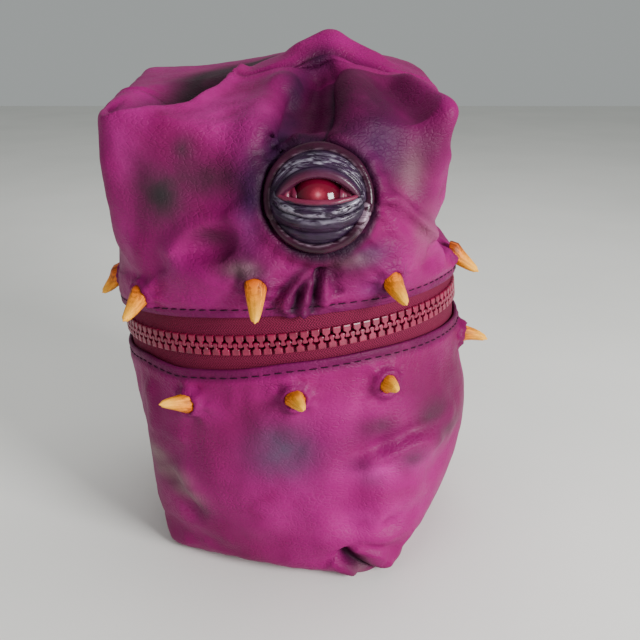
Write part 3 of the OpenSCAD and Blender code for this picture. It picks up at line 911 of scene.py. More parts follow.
def thread_material():
    """Dark thread, twisted."""
    n = Nodes("thread")
    uv = n.node("ShaderNodeTexCoord", out=2)
    split = n.tree.nodes.new("ShaderNodeSeparateXYZ")
    n.set(split.inputs[0], uv)
    twist = n.math("SINE", n.math("MULTIPLY", n.math("ADD", split.outputs[0], split.outputs[1]), 18.0))
    level = n.scaled(twist, -1.0, 1.0)
    color = n.mix(level, (0.006, 0.001, 0.005), (0.030, 0.006, 0.020))
    return n.finish(color, 0.75, n.bump(level, 0.0001, 0.8), Specular_IOR_Level=0.15)


def claw_material():
    """Clay claw: orange at the root, cream at the tip, with brown glaze in its grooves."""
    n = Nodes("claw_clay")
    along, around = n.attribute("along"), n.attribute("around")
    combined = n.tree.nodes.new("ShaderNodeCombineXYZ")
    n.set(combined.inputs[0], around)
    n.set(combined.inputs[1], n.math("MULTIPLY", along, 1.6))
    n.set(combined.inputs[2], n.attribute("seed"))
    streaks = n.noise(2.4, 4, combined.outputs[0], 0.65)
    color = n.ramp(n.math("ADD", along, n.math("MULTIPLY", n.noise(300, 3), 0.25)),
                   (0.12, (0.52, 0.09, 0.002)), (0.36, (0.74, 0.19, 0.004)), (0.64, (0.86, 0.29, 0.006)),
                   (0.98, (0.92, 0.42, 0.02)))
    dark = n.math("MULTIPLY", n.scaled(streaks, 0.44, 0.56), n.ramp(
        along, (0.0, (1, 1, 1)), (0.45, (0.5, 0.5, 0.5)), (1.0, (0.1, 0.1, 0.1))))
    color = n.mix(n.math("MULTIPLY", dark, 0.85), color, (0.13, 0.025, 0.004))
    pits = n.scaled(n.voronoi(700), 0.0, 0.12)
    color = n.mix(n.math("SUBTRACT", 1.0, pits), color, (0.24, 0.07, 0.02))
    bump = n.bump(streaks, 0.0006, 0.5)
    bump = n.bump(pits, 0.0002, 0.6, bump)
    return n.finish(color, 0.40, bump, Specular_IOR_Level=0.22)


def clay_material(name, dark, light, silver_and_highlight, gloss):
    """Painted clay: painted shade in its folds, and dry-brushed silver where the paint attribute says, which
    on the rims also lays a painted highlight line.
    """
    n = Nodes(name)
    drawn = n.node("ShaderNodeVectorMath", operation="MULTIPLY", i0=n.place(), i1=(0.32, 1.0, 1.1))
    strands = n.noise(620, 3, drawn, 0.6, 0.6)
    color = n.mix(n.scaled(n.noise(220, 4), 0.35, 0.7), dark, light)
    brush = n.math("MULTIPLY", n.attribute("silver_and_highlight"), n.scaled(strands, 0.44, 0.62))
    color = n.mix(brush, color, silver_and_highlight)
    n.set(n.shader.inputs["Metallic"], n.math("MULTIPLY", brush, 0.7))
    color = n.mix(n.attribute("shade"), color, (0.010, 0.003, 0.012))
    color = n.mix(n.attribute("flesh"), color, (0.15, 0.012, 0.040))
    rough = n.math("ADD", n.math("MULTIPLY", n.noise(700, 3), 0.2), gloss)
    return n.finish(color, rough, n.bump(strands, 0.00035, 0.6), Coat_Weight=0.15, Coat_Roughness=0.15,
                    Specular_IOR_Level=0.24)


def glass_material():
    """The glass eye over its painted disc: red, darkening towards its rim, with a glow painted brighter
    towards the middle in place of light through the glass.
    """
    n = Nodes("eye_glass")
    out, around = n.attribute("out"), n.attribute("around")
    combined = n.tree.nodes.new("ShaderNodeCombineXYZ")
    n.set(combined.inputs[0], around)
    n.set(combined.inputs[1], n.math("MULTIPLY", out, 0.35))
    fibres = n.noise(3.0, 4, combined.outputs[0], 0.6)
    spread = n.math("ADD", out, n.math("MULTIPLY", n.math("SUBTRACT", fibres, 0.5), 0.22))
    color = n.ramp(spread, (0.02, (0.46, 0.11, 0.14)), (0.12, (0.24, 0.022, 0.042)),
                   (0.28, (0.12, 0.002, 0.014)), (0.60, (0.075, 0.001, 0.010)),
                   (0.88, (0.004, 0.0005, 0.002)))
    return n.finish(color, 0.10, None, Coat_Weight=0.15, Coat_Roughness=0.02, Specular_IOR_Level=0.3)


LEATHER = leather_material()
BACKING = backing_material()
TAPE = tape_material()
TEETH = moulded_material("zip_teeth", (0.22, 0.002, 0.038), (0.11, 0.001, 0.019), 0.26, 0.0)
METAL = moulded_material("slider_metal", (0.17, 0.015, 0.035), (0.09, 0.008, 0.02), 0.2, 0.6)
THREAD = thread_material()
CLAW = claw_material()
RIM = clay_material("rim_clay", (0.016, 0.0008, 0.008), (0.034, 0.002, 0.016), (0.36, 0.24, 0.32), 0.24)
LID = clay_material("lid_clay", (0.008, 0.002, 0.011), (0.028, 0.009, 0.033), (0.34, 0.30, 0.38), 0.30)
GLASS = glass_material()
IRIS = moulded_material("iris_paint", (0.4, 0.03, 0.05), (0.2, 0.01, 0.02), 0.3, 0.2)


# ---------- leather pieces ----------

# The square ends: left, right, front and back, their corners' radius, and their turn in degrees.
TOP_SQUARE = (-50.5, 44.5, -45.5, 43, 7, 2)
BOTTOM_SQUARE = (-34, 40.5, -40, 40, 11, -13)

FRONT_Y = -12              # the front of the bag lies before this


def smudges(s, name, spots, more=0.0):
    """Paints soft blobs on the front: each has its x, z, width, height and strength."""
    value = np.zeros(len(s.points)) + more
    for x, z, wide, high, strength in spots:
        near = np.hypot((s.points[:, 0] - x) / wide, (s.points[:, 2] - z) / high)
        value = np.maximum(value, strength * bell(near, 1.0) * (s.points[:, 1] < FRONT_Y))
    paint(s.obj, name, value)


def split_panels(obj, names, body, nodes, flats):
    for index, (name, node_names, flat) in enumerate(zip(names, nodes, flats)):
        panel = obj.copy()
        panel.data = obj.data.copy()
        panel.name = panel.data.name = name
        bpy.context.scene.collection.objects.link(panel)
        shell = bmesh.new()
        shell.from_mesh(panel.data)
        bmesh.ops.delete(shell, geom=[f for f in shell.faces if f.material_index != index], context="FACES")
        for f in shell.faces:
            f.material_index = 0
        shell.to_mesh(panel.data)
        shell.free()
        panel.data.materials.clear()
        panel.data.materials.append(LEATHER)
        panel.data.materials.append(BACKING)
        solid = panel.modifiers.new("thickness", "SOLIDIFY")
        solid.thickness = LEATHER_T * MM
        solid.offset = -1
        solid.material_offset = 1
        solid.material_offset_rim = 0
        solid.use_even_offset = False
        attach(panel, body)
        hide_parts(*node_names)
    bpy.data.objects.remove(obj)


def shaded_at_claws(glaze_and_shade, s, claws, strength):
    """Darkens the leather in a ring round each claw."""
    for name in claws:
        rho = lengths(s.points - CLAWS[name]["base"] - CLAWS[name]["shift"])
        glaze_and_shade = np.maximum(glaze_and_shade, strength * bell(rho - 4.2, 1.2))
    return np.clip(glaze_and_shade, 0, 1)


def make_upper_leather():
    shell = build_pouch("upper_shell", 1, UPPER_ROWS, UPPER_SEAM, TOP_SQUARE, top_height, upper_bulge, 3)
    relax_as_cloth(shell, 1, 3.5)
    subdivide(shell, 2)
    s = sculpt_upper(shell)
    glaze_and_shade = np.maximum(s.glaze_and_shade, 0.42 * ramp(-s.from_lip, -3.6, -2.2))
    paint(shell, "glaze_and_shade", shaded_at_claws(glaze_and_shade, s, UP_CLAWS, 0.3))
    # Broad dark airbrush together with painted shade, deepest in the valley and where the top has fallen in.
    smudges(s, "airbrush_and_shade", [
        (20, 134, 17, 19, 1.0), (37, 128, 9, 12, 0.7), (8, 112, 19, 19, 0.45), (15, 101, 13, 7, 0.9),
        (36, 116, 6, 8, 0.5), (-10, 101, 11, 6, 0.7), (4, 92, 9, 8, 0.6), (-20, 121, 14, 6, 0.45),
        (-36, 122, 9, 14, 0.3), (-15, 105, 9, 4, 0.5)], np.maximum(s.fallen, s.valley))
    smudges(s, "green", [
        (-30.5, 116, 7.5, 8.5, 1.0), (-23.9, 127.5, 3.5, 3.5, 1.0), (-19, 120, 11, 5, 0.65),
        (-24, 121, 7, 8, 0.6), (-10, 98.5, 5, 2.5, 0.6), (-18.5, 106.7, 5, 2.5, 0.45),
        (30, 122, 5, 5, 0.45), (-30, 96, 4, 6, 0.3)],
        0.7 * s.fallen)
    smudges(s, "violet", [
        (22, 102, 6, 3, 0.5), (25, 92, 6, 3, 0.5), (-8, 116, 4, 12, 0.7), (24, 128, 9, 8, 0.4),
        (-1, 126, 5, 6, 0.6)], 0.25 * s.valley)
    smudges(s, "grey", [
        (-9, 99, 4, 2, 0.5), (38, 106, 4, 5, 0.4), (33, 121, 3, 6, 0.4), (18, 101, 5, 2, 0.35)])
    # Painted highlights on faces that catch the light.
    smudges(s, "painted_highlight", [
        (-14, 136, 14, 8, 0.5), (-34, 138, 8, 6, 0.6), (-40, 128, 5, 10, 0.5), (44, 112, 4, 22, 0.6),
        (-29, 98, 4, 6, 0.5), (28, 98, 7, 6, 0.4), (-42, 104, 5, 12, 0.4)])
    split_panels(shell, ("upper_front_leather", "upper_back_leather"), "upper_bag",
                 (["upper_front_panel"], ["upper_back_panel"]), ((0.155, 0.095), (0.165, 0.12)))


def make_lower_leather():
    shell = build_pouch("lower_shell", -1, LOWER_ROWS, LOWER_SEAM, BOTTOM_SQUARE, flat_bottom,
                        lower_bulge, 2.5)
    relax_as_cloth(shell, -1, 2.2)
    points = read_points(shell)
    write_points(shell, np.column_stack([points[:, :2], np.maximum(points[:, 2], 0)]))
    subdivide(shell, 2)
    s = sculpt_lower(shell)
    s.points[:, 2] = np.maximum(s.points[:, 2], 0)
    s.refresh()
    glaze_and_shade = np.maximum(s.glaze_and_shade, 0.5 * ramp(-s.from_lip, -4.4, -2.6))
    paint(shell, "glaze_and_shade", shaded_at_claws(glaze_and_shade, s, LOW_CLAWS, 0.2))
    # Broad dark airbrush together with painted shade.
    smudges(s, "airbrush_and_shade", [
        (-36, 40, 9, 14, 0.4), (45, 54, 12, 12, 0.5), (2, 46, 9, 7, 0.3), (21, 41, 5, 3.5, 0.6),
        (28, 48, 16, 6, 0.4), (20, 6, 5, 5, 0.5)])
    smudges(s, "green", [
        (-36, 32, 5, 4, 0.5), (-25, 22, 4, 5, 0.5), (25, 52, 5, 3, 0.7), (36, 40, 5, 3.5, 0.7),
        (42, 51, 5, 4, 0.65), (48, 43, 5, 4, 0.6), (24, 36, 4, 3, 0.4), (-34, 28, 6, 3, 0.5)])
    smudges(s, "violet", [(-1, 46, 9.5, 9, 1.0), (3, 52, 6, 5, 0.4)])
    smudges(s, "grey", [
        (-40, 35, 5, 3.5, 0.95), (-35, 31, 6, 3.5, 0.9), (-30, 26, 5, 3, 0.7), (22, 4, 2.5, 3, 0.5),
        (-1, 46, 8, 8, 0.25)])
    # Painted highlights on faces that catch the light.
    smudges(s, "painted_highlight", [
        (-8, 30, 20, 18, 0.3), (-24, 57, 8, 5, 0.35), (12, 58, 14, 5, 0.3), (27, 38, 12, 4, 1.0),
        (35, 38, 8, 4, 0.9), (26, 22, 12, 5, 0.8)])
    split_panels(shell, ("lower_front_leather", "lower_back_leather"), "lower_bag",
                 (["lower_front_panel"], ["lower_back_panel"]), ((0.165, 0.105), (0.165, 0.105)))


make_upper_leather()
make_lower_leather()


# ---------- zip ----------

def add_uv(obj, pairs):
    """A UV map in millimetres, from one pair of numbers per point."""
    layer = obj.data.uv_layers.new(name="weave")
    index = np.empty(len(obj.data.loops), int)
    obj.data.loops.foreach_get("vertex_index", index)
    layer.data.foreach_set("uv", np.asarray(pairs, float)[index].ravel())


def place_piece(obj, body, nodes, slot, *materials):
    for material in materials:
        obj.data.materials.append(material)
    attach(obj, body)
    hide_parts(*nodes)
    return obj


TAPE_EDGE = 9.7            # from the zip's middle to the tape's far edge


def make_tape(name, side, body, node):
    """One half of the zip tape, with the round cord that its teeth are moulded on."""
    azimuth = np.linspace(-144, 144, 289)
    front = [(0.35, TAPE_EDGE), (0.35, 7.0), (0.35, 4.6), (0.38, 3.2), (0.55, 2.4), (0.62, 1.9), (0.45, 1.5)]
    profile = front + [(0.0, 1.35)] + [(-r, h) for r, h in reversed(front)]
    sides = len(profile)
    rows, uv = [], []
    for r, h in profile:
        wave = 0.14 * np.sin(np.radians(azimuth * 9 + 40 * side)) * (h / TAPE_EDGE)
        rows.append(at_mouth(TAPE_R + r + wave, azimuth, side * h))
        uv.append(np.column_stack([np.radians(azimuth) * TAPE_R, np.full(len(azimuth), h)]))
    points = np.stack(rows, axis=1).reshape(-1, 3)
    faces = tube_faces(len(azimuth), sides) + cap_faces(sides, len(points))
    if side < 0:
        faces = [tuple(reversed(face)) for face in faces]
    obj = make_object(name, points, faces)
    add_uv(obj, np.stack(uv, axis=1).reshape(-1, 2))
    return place_piece(obj, body, [node], "zip_tape", TAPE)


TOOTH_PITCH = 2.8
FIRST_TOOTH = -133.4       # degrees from the front
# Outline of one tooth from the tape side to its nose: half width and distance from the zip's middle.
TOOTH = [(0.95, 2.75), (1.05, 2.6), (1.05, 1.4), (0.95, 1.22), (0.55, 1.05), (0.40, 0.75), (0.42, 0.4),
         (0.66, 0.05), (0.72, -0.25), (0.62, -0.5), (0.3, -0.66)]


def make_teeth(name, side, body, node):
    """One row of moulded teeth, half a pitch from the other row."""
    step = math.degrees(TOOTH_PITCH / TAPE_R)
    count = int(2 * 135 / step) - 1
    outline = np.array(TOOTH + [(-w, h) for w, h in reversed(TOOTH)])
    n = len(outline)
    middle = outline.mean(axis=0)
    rings = [(49.7, 1.0), (52.05, 1.0), (52.28, 0.95), (52.38, 0.8)]
    points, faces = [], []
    for i in range(count):
        azimuth = FIRST_TOOTH + (i + (side + 1) / 4) * step
        base = len(points)
        for radius, grow in rings:
            shape = middle + (outline - middle) * grow
            points.extend(at_mouth(radius, azimuth + np.degrees(shape[:, 0] / TAPE_R), side * shape[:, 1]))
        tooth = tube_faces(len(rings), n, base)
        tooth += [tuple(range(base, base + n))[::-1], tuple(range(base + 3 * n, base + 4 * n))]
        faces.extend(tooth if side > 0 else [face[::-1] for face in tooth])
    obj = make_object(name, points, [f[::-1] for f in faces], smooth=False)
    return place_piece(obj, body, [node], "zip_teeth", TEETH)


def leather_surface(azimuth, height, names):
    """Radius of the leather's outside at a place round the mouth, from its panels' points."""
    found = []
    for a, h in zip(azimuth, height):
        candidates = []
        for cloud in names:
            r, az, z = SURFACES[cloud]
            gap = np.hypot(apart(az, a) * 0.92, z - h)
            k = np.argmin(gap)
            candidates.append((gap[k], r[k]))
        found.append(min(candidates)[1])
    return np.array(found)


def outside_near_mouth(name):
    """Radius, azimuth and height of a leather panel's outer points near the mouth."""
    r, azimuth, height = mouth_coordinates(read_points(bpy.data.objects[name]))
    outside = (r > 52.0) & (abs(height) < 20)
    return r[outside], azimuth[outside], height[outside]


SURFACES = {f"{half}_{part}_leather": outside_near_mouth(f"{half}_{part}_leather")
            for half in ("upper", "lower") for part in ("front", "back")}


STITCH_FROM_LIP = 2.6


def make_stitches(name, side, body, node):
    """The row of separate stitches along the rolled edge."""
    pitch, length, thick = 3.1, 2.5, 0.15
    step = math.degrees(pitch / LEATHER_R)
    azimuths = np.arange(-180, 180 - step / 2, step)
    heights = lip_at(side, azimuths) + side * STITCH_FROM_LIP
    names = [f"{'upper' if side > 0 else 'lower'}_{part}_leather" for part in ("front", "back")]
    radii = leather_surface(azimuths, heights, names)
    radii = (np.roll(radii, 1) + 2 * radii + np.roll(radii, -1)) / 4
    points, faces, uv = [], [], []
    sides, rings = 8, 7
    turn = np.radians(np.arange(sides) * 360 / sides)
    for k, middle in enumerate(azimuths):
        for t in np.linspace(-1, 1, rings):
            a = middle + math.degrees(t * length / 2 / LEATHER_R)
            h = lip_at(side, a) + side * (STITCH_FROM_LIP + 0.05 * t)
            radius = np.interp(a, azimuths, radii, period=360) + 0.16 - 0.42 * t ** 4
            width = thick * (1 - 0.45 * t ** 4)
            points.extend(at_mouth(radius + width * np.cos(turn), a, h + width * np.sin(turn)))
            uv.extend([(t * 2.2 + k, angle / 6.0) for angle in turn])
        base = len(points) - rings * sides
        faces.extend(tube_faces(rings, sides, base))
        faces.extend([tuple(range(base, base + sides))[::-1],
                      tuple(range(len(points) - sides, len(points)))])
    obj = make_object(name, points, faces)
    add_uv(obj, uv)
    return place_piece(obj, body, [node], "thread", THREAD)


HINGE_HALF_ANGLE, HINGE_HALF_HEIGHT = 35, 11.2


def make_hinge():
    """The strip of leather behind the bag, where its two halves are hinged."""
    azimuth = np.linspace(180 - HINGE_HALF_ANGLE, 180 + HINGE_HALF_ANGLE, 71)
    heights = np.linspace(-HINGE_HALF_HEIGHT, HINGE_HALF_HEIGHT, 57)
    outer = []
    for h in heights:
        wave = 0.25 * np.sin(np.radians(azimuth * 6)) * bell(h, 5) + 0.35 * bell(h, 2.4)
        outer.append(at_mouth(TAPE_R + 0.3 - wave, azimuth, h))
    points = np.concatenate(outer)
    obj = make_object("hinge_leather", points, grid_faces(len(heights), len(azimuth)))
    # Darker along the middle where the strip folds: painted shade over a light glaze.
    paint(obj, "glaze_and_shade", np.tile(0.25 + 0.3 * bell(heights, 3.5)[:, None], (1, len(azimuth))).ravel())
    obj.data.materials.append(LEATHER)
    obj.data.materials.append(BACKING)
    solid = obj.modifiers.new("thickness", "SOLIDIFY")
    solid.thickness = 0.9 * MM
    solid.offset = -1
    solid.material_offset = 1
    solid.material_offset_rim = 0
    apply_modifiers(obj)
    start, end = (tuple((at_mouth(TAPE_R, 180, h) * MM).tolist()) for h in (-5.0, 5.0))
    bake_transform(obj)
    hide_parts("hinge_strip")


make_tape("lower_zip_tape", -1, "lower_bag", "lower_tape")
make_tape("upper_zip_tape", 1, "upper_bag", "upper_tape")
make_teeth("lower_zip_teeth", -1, "lower_bag", "lower_teeth")
make_teeth("upper_zip_teeth", 1, "upper_bag", "upper_teeth")
make_stitches("lower_stitches", -1, "lower_bag", "lower_topstitch")
make_stitches("upper_stitches", 1, "upper_bag", "upper_topstitch")
make_hinge()


# ---------- claws ----------

CLAW_R = 2.85
BLUNT_TIP = (0.42, 0.16)   # radius of the last two rings


def make_claw(name, seed):
    """A horn swept along its curve, with uneven, lightly grooved sides."""
    claw = CLAWS[name]
    foot = claw["base"] + claw["shift"] + claw["out"] * 0.4
    root = claw["base"] + claw["shift"] + claw["out"] * 0.9
    middle, tip = claw["middle"] + claw["shift"], claw["tip"] + claw["shift"]
    bend = (middle - root * 0.16 - tip * 0.36) / 0.48
    rings, sides = 26, 28
    t = np.linspace(0, 1, rings - 4) ** 0.9
    curve = (1 - t)[:, None] ** 2 * root + 2 * ((1 - t) * t)[:, None] * bend + t[:, None] ** 2 * tip
    line = np.concatenate([[foot + (root - foot) * k / 4 for k in range(4)], curve])
    along = np.concatenate([np.zeros(4), t])
    tangent = np.gradient(line, axis=0)
    tangent /= lengths(tangent)[:, None]
    across = np.cross(tangent, MOUTH_UP + 0.01)
    across /= lengths(across)[:, None]
    rise = np.cross(across, tangent)
    rng = np.random.default_rng(100 + seed)
    phase = rng.uniform(0, 6.28, 4)
    turn = np.linspace(0, 2 * np.pi, sides, endpoint=False)
    points, share, around = [], [], []
    radii = CLAW_R * (1 - along ** 1.35) ** 0.85 + 0.5 * ramp(along, 0.2, 1)
    radii[-2:] = BLUNT_TIP
    for k, radius in enumerate(radii):
        lumps = 1 + 0.05 * np.sin(3 * turn + phase[0] + 3 * along[k]) + 0.035 * np.sin(5 * turn + phase[1])
        lumps += 0.03 * np.sin(9 * turn + phase[2] - 4 * along[k])
        points.extend(line[k] + (radius * lumps)[:, None] * (np.cos(turn)[:, None] * across[k]
                                                             + np.sin(turn)[:, None] * rise[k]))
        share += [along[k]] * sides
        around += list(np.sin(turn) * 2)
    faces = tube_faces(rings, sides) + cap_faces(sides, len(points))
    obj = make_object(name + "_horn", points, faces)
    paint(obj, "along", share)
    paint(obj, "around", around)
    paint(obj, "seed", np.full(len(points), seed * 3.1))
    body = "upper_bag" if "upper" in name else "lower_bag"
    return place_piece(obj, body, [name], "claw_clay", CLAW)


for claw_index, claw_name in enumerate(sorted(CLAWS)):
    make_claw(claw_name, claw_index)


# ---------- eye ----------

EYE_HALF_W, EYE_UP_RISE, EYE_DOWN_RISE = 9.4, 4.4, 1.8
LID_R, LID_SINK = 14.0, 4.93
RIM_IN = 11.5
GLASS_R, GLASS_TOP = 7.69, 8.0


def lid_height(r):
    return np.sqrt(np.maximum(LID_R ** 2 - r ** 2, 0)) - LID_SINK


def arc_point(share, rise):
    """A point on the curve from the eye's left corner to its right one, over or under the opening."""
    x = -EYE_HALF_W + 2 * EYE_HALF_W * share
    bow = 1 - abs(2 * share - 1) ** 2.2
    return x, rise * bow


def make_lid(name, side, node):
    """One eyelid as a sculpted sheet from its margin to the rim; side is 1 above and -1 below."""
    columns, rows = 181, 64
    share = np.linspace(0, 1, columns)
    x0, y0 = arc_point(share, EYE_UP_RISE if side > 0 else -EYE_DOWN_RISE)
    angle = np.radians(np.interp(share, [0, 1], [192, -12] if side > 0 else [170, 370]))
    x1, y1 = RIM_IN * np.cos(angle), RIM_IN * np.sin(angle)
    points, silver_and_highlight, shade, flesh = [], [], [], []
    for j in range(-3, rows):
        v = max(j, 0) / (rows - 1)
        x, y = x0 + (x1 - x0) * v, y0 + (y1 - y0) * v
        gap = np.hypot(x1 - x0, y1 - y0) * v
        z = lid_height(np.hypot(x, y)) - 0.15
        ends = np.sin(np.pi * share) ** 0.5
        wobble = 0.25 * np.sin(share * 17 + side) + 0.2 * np.sin(share * 31 + 2)
        if side > 0:
            roll = 0.55 * bell(gap - 0.95, 0.8)
            groove = -0.55 * bell(gap - 2.1 - 0.1 * wobble, 0.3)
            folds = 0.22 * np.sin(gap * 5.2 + 1.5 * wobble + 2 * np.sin(share * 9)) * ramp(gap, 2.2, 3.2)
            folds += 0.16 * np.sin(gap * 9.5 + 3 * np.sin(share * 13) + share * 8) * ramp(gap, 2.2, 3.0)
            lift = roll + (groove + folds * ramp(-gap, -7.2, -5.2) + 0.3 * bell(gap - 3.4, 1.0)) * ends
            brush = ramp(folds, 0.02, 0.25) * ramp(gap, 2.3, 3.0) * ramp(-gap, -6.6, -3.8)
            brush = brush * ramp(share, 0.12, 0.3) * ramp(-share, -0.92, -0.62)
            dark = 0.8 * bell(gap - 2.1, 0.28) * ends + 0.95 * ramp(v, 0.82, 1.0)
            pink = 0.3 * ramp(-gap, -1.6, -0.3)
        else:
            roll = 0.3 * bell(gap - 0.45, 0.38)
            first, second = 3.1 + 0.25 * wobble, 5.9 + 0.2 * wobble
            first, second = first * (0.35 + 0.65 * ends), second * (0.45 + 0.55 * ends)
            lift = roll - 0.4 * bell(gap - 1.1, 0.4) + 0.75 * bell(gap - first + 0.35, 0.75)
            lift = lift - 1.25 * bell(gap - first - 0.85, 0.38) + 0.65 * bell(gap - second + 0.6, 1.0)
            lift = lift - 0.9 * bell(gap - second - 0.8, 0.4) + 0.1 * np.sin(gap * 8 + 4 * wobble)
            z = z - 1.05 * ramp(gap, 4.2, 9.5)
            brush = 0.9 * bell(gap - first + 0.2, 0.45) * ramp(share, 0.02, 0.2)
            brush = brush + 0.85 * bell(gap - second + 1.5, 0.5) * ends
            brush = brush + 0.5 * bell(gap - 1.7, 0.35) * ramp(share, 0.25, 0.45)
            dark = bell(gap - first - 0.85, 0.45) + 0.8 * bell(gap - second - 0.8, 0.4)
            dark = dark + 0.5 * bell(gap - 1.1, 0.35) + 0.9 * ramp(v, 0.86, 1.0)
            pink = 0.8 * ramp(-gap, -0.6, -0.3)
        z = z + lift - 0.9 * ramp(v, 0.85, 1.0)
        if j < 0:
            # Three more rows turn the margin inwards.
            x = x * (1 + 0.02 * j)
            z = z + 0.42 * j
        points.extend(at_eye(x, y, z))
        silver_and_highlight.extend(np.clip(brush, 0, 1) * np.ones(columns))
        shade.extend(np.clip(dark, 0, 1) * np.ones(columns))
        flesh.extend(np.clip(pink, 0, 1) * np.ones(columns))
    faces = grid_faces(rows + 3, columns)
    if side > 0:
        faces = [face[::-1] for face in faces]
    obj = make_object(name, points, faces)
    for key, values in (("silver_and_highlight", silver_and_highlight), ("shade", shade), ("flesh", flesh)):
        paint(obj, key, values)
    solid = obj.modifiers.new("thickness", "SOLIDIFY")
    solid.thickness = 0.5 * MM
    solid.offset = -1
    return place_piece(obj, "upper_bag", [node], "lid_clay", LID)


def make_rim(name, node, start, end, radius, tube, height, bead):
    """One rolled piece of the eye's rim; radius, tube and height change from its start to its end."""
    count, sides = 120, 28
    t = np.linspace(0, 1, count)
    angle = np.radians(start + (end - start) * t)
    turn = np.linspace(0, 2 * np.pi, sides, endpoint=False)
    points, silver_and_highlight, shade = [], [], []
    for k in range(count):
        taper = (ramp(t[k], -0.02, 0.05) * ramp(-t[k], -1.02, -0.95)) ** 0.6
        r, w, z = (np.interp(t[k], [0, 0.5, 1], values) for values in (radius, tube, height))
        w = w * max(taper, 0.12)
        uneven = 1 + 0.03 * math.sin(28.26 * t[k]) + 0.02 * math.sin(37 * t[k])
        ridge = bead * bell((turn - math.radians(135) + math.pi) % (2 * math.pi) - math.pi, 0.28)
        across = w * uneven * (1 + ridge)
        rr = r + across * np.cos(turn)
        zz = z + across * np.sin(turn) * 1.1
        points.extend(at_eye(rr * math.cos(angle[k]), rr * math.sin(angle[k]), zz))
        # A thin line along the roll's inner upper edge is a painted highlight, laid with the silver paint.
        edge = bell((turn - math.radians(128) + math.pi) % (2 * math.pi) - math.pi, 0.32)
        silver_and_highlight.extend(edge * (0.35 if "upper" in name else 0.9))
        shade.extend(0.6 * (np.cos(turn) < -0.55) * np.ones(sides))
    if "lower" in name:
        silver_and_highlight = np.maximum(silver_and_highlight, np.repeat(ramp(t, 0.74, 0.86) * ramp(-t, -1.0, -0.96), sides)
                            * np.tile(np.sin(turn) > 0.1, count))
    faces = tube_faces(count, sides) + cap_faces(sides, len(points))
    obj = make_object(name, points, faces)
    paint(obj, "silver_and_highlight", silver_and_highlight)
    paint(obj, "shade", shade)
    paint(obj, "flesh", np.zeros(len(points)))
    return place_piece(obj, "upper_bag", [node], "rim_clay", RIM)


def dome(name, node, slot_name, material, radius, height_at, rings, flat):
    """A round cap of points, its height given at each radius; a flat one has evenly spaced rings."""
    sides = 96
    turn = np.linspace(0, 2 * np.pi, sides, endpoint=False)
    points, out, around = [at_eye(0.0, 0.0, height_at(np.zeros(1), np.zeros(1))[0])], [0.0], [0.0]
    for k in range(1, rings + 1):
        r = radius * k / rings if flat else radius * math.sin(k / rings * math.pi / 2)
        points.extend(at_eye(r * np.cos(turn), r * np.sin(turn), height_at(np.full(sides, r), turn)))
        out += [r / radius] * sides
        around += list(2.5 * np.abs(np.sin(turn * 1.5)) + np.cos(turn))
    faces = [(0, 1 + i, 1 + (i + 1) % sides) for i in range(sides)] + tube_faces(rings, sides, 1)
    obj = make_object(name, points, faces)
    bm = bmesh.new()
    bm.from_mesh(obj.data)
    bmesh.ops.recalc_face_normals(bm, faces=bm.faces)
    bm.to_mesh(obj.data)
    bm.free()
    paint(obj, "out", out)
    paint(obj, "around", around)
    return place_piece(obj, "upper_bag", [node], slot_name, material)


def glass_height(r, _turn):
    """A cabochon of 14 mm: part of a sphere of radius GLASS_R whose top is GLASS_TOP over the leather."""
    return GLASS_TOP - GLASS_R + np.sqrt(np.maximum(GLASS_R ** 2 - r ** 2, 0))


def socket_height(r, turn):
    """Flesh behind the lids: it rises in both corners of the eye."""
    corner = np.abs(np.cos(turn)) ** 6
    flesh = 6.2 - 0.5 * bell(r - 6.8, 0.5) - 0.2 * (r - 5)
    return np.where(r < 5.1, 3.6, np.minimum(3.6 + corner * (flesh - 3.6), lid_height(r) - 1.0)) \
        + 0.08 * np.sin(9 * turn + r * 2)


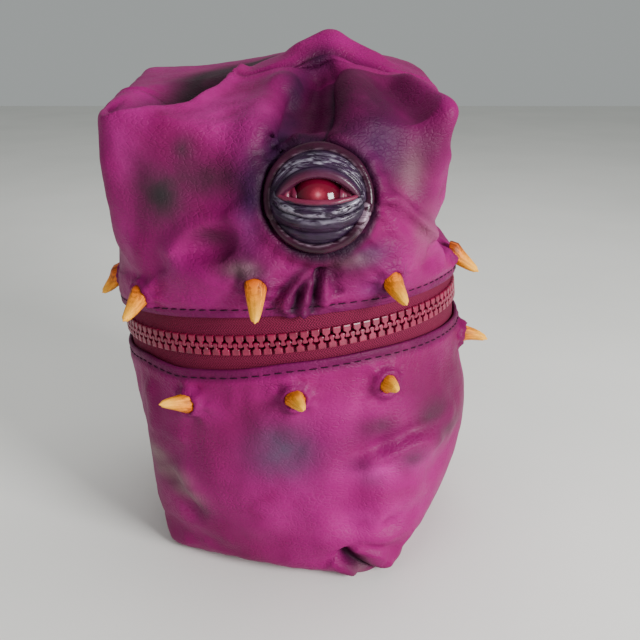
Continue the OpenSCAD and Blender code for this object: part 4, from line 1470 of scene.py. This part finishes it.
def make_eye():
    make_lid("upper_eyelid_clay", 1, "upper_eyelid")
    make_lid("lower_eyelid_clay", -1, "lower_eyelid")
    make_rim("lower_rim_clay", "eye_rim_lower", 187, 357, (12.2, 12.4, 11.9), (0.9, 1.2, 1.5),
             (1.6, 1.7, 3.0), 0.1)
    make_rim("upper_rim_clay", "eye_rim_upper", 208, -22, (12.4, 12.2, 12.6), (0.95, 1.3, 1.05),
             (2.0, 2.6, 2.2), 0.16)
    dome("glass_eye", "eyeball", "eye_glass", GLASS, 7.0, glass_height, 28, flat=False)
    socket = dome("eye_socket", "eye_backing", "lid_clay", LID, 11.4, socket_height, 40, flat=True)
    radius = painted(socket, "out")
    paint(socket, "flesh", 0.95 * ramp(radius, 0.4, 0.5) * ramp(-radius, -0.86, -0.8))
    paint(socket, "silver_and_highlight", np.zeros(len(radius)))
    paint(socket, "shade", 0.9 * ramp(radius, 0.84, 0.9))


make_eye()


# ---------- CAD pieces that stay, with their own finish ----------

for node_name, finish in (("lower_end_stops", TEETH), ("upper_end_stops", TEETH), ("slider", METAL),
                          ("pull_tab", METAL), ("iris_disc", IRIS)):
    kept = frame["nodes"][node_name]
    kept.data.materials.clear()
    kept.data.materials.append(finish)


# ---------- stage ----------

def add_stage():
    bpy.ops.mesh.primitive_plane_add(size=3, location=(0, 0, -0.0002))
    floor = bpy.context.object
    floor.name = "floor"
    n = Nodes("floor")
    color = n.mix(n.scaled(n.noise(7, 3), 0.3, 0.7), (0.74, 0.735, 0.70), (0.80, 0.79, 0.755))
    floor.data.materials.append(n.finish(color, 0.75, n.bump(n.noise(300, 2), 0.0002, 0.2)))
    world = bpy.data.worlds.new("studio")
    bpy.context.scene.world = world
    world.use_nodes = True
    background = world.node_tree.nodes["Background"]
    background.inputs[0].default_value = (0.90, 0.95, 0.94, 1)
    background.inputs[1].default_value = 0.40
    for name, place, size, power in (("key", (0.50, -0.46, 0.30), 0.24, 9.0),
                                     ("fill", (-0.45, -0.50, 0.25), 0.5, 1.0),
                                     ("top", (0.05, 0.15, 0.80), 0.5, 3.0)):
        light = bpy.data.objects.new(name, bpy.data.lights.new(name, "AREA"))
        bpy.context.scene.collection.objects.link(light)
        light.location = place
        light.data.size = size
        light.data.energy = power
        light.visible_glossy = name == "key"
        light.rotation_euler = (Vector((0, 0, 0.08)) - Vector(place)).to_track_quat("-Z", "Y").to_euler()


add_stage()
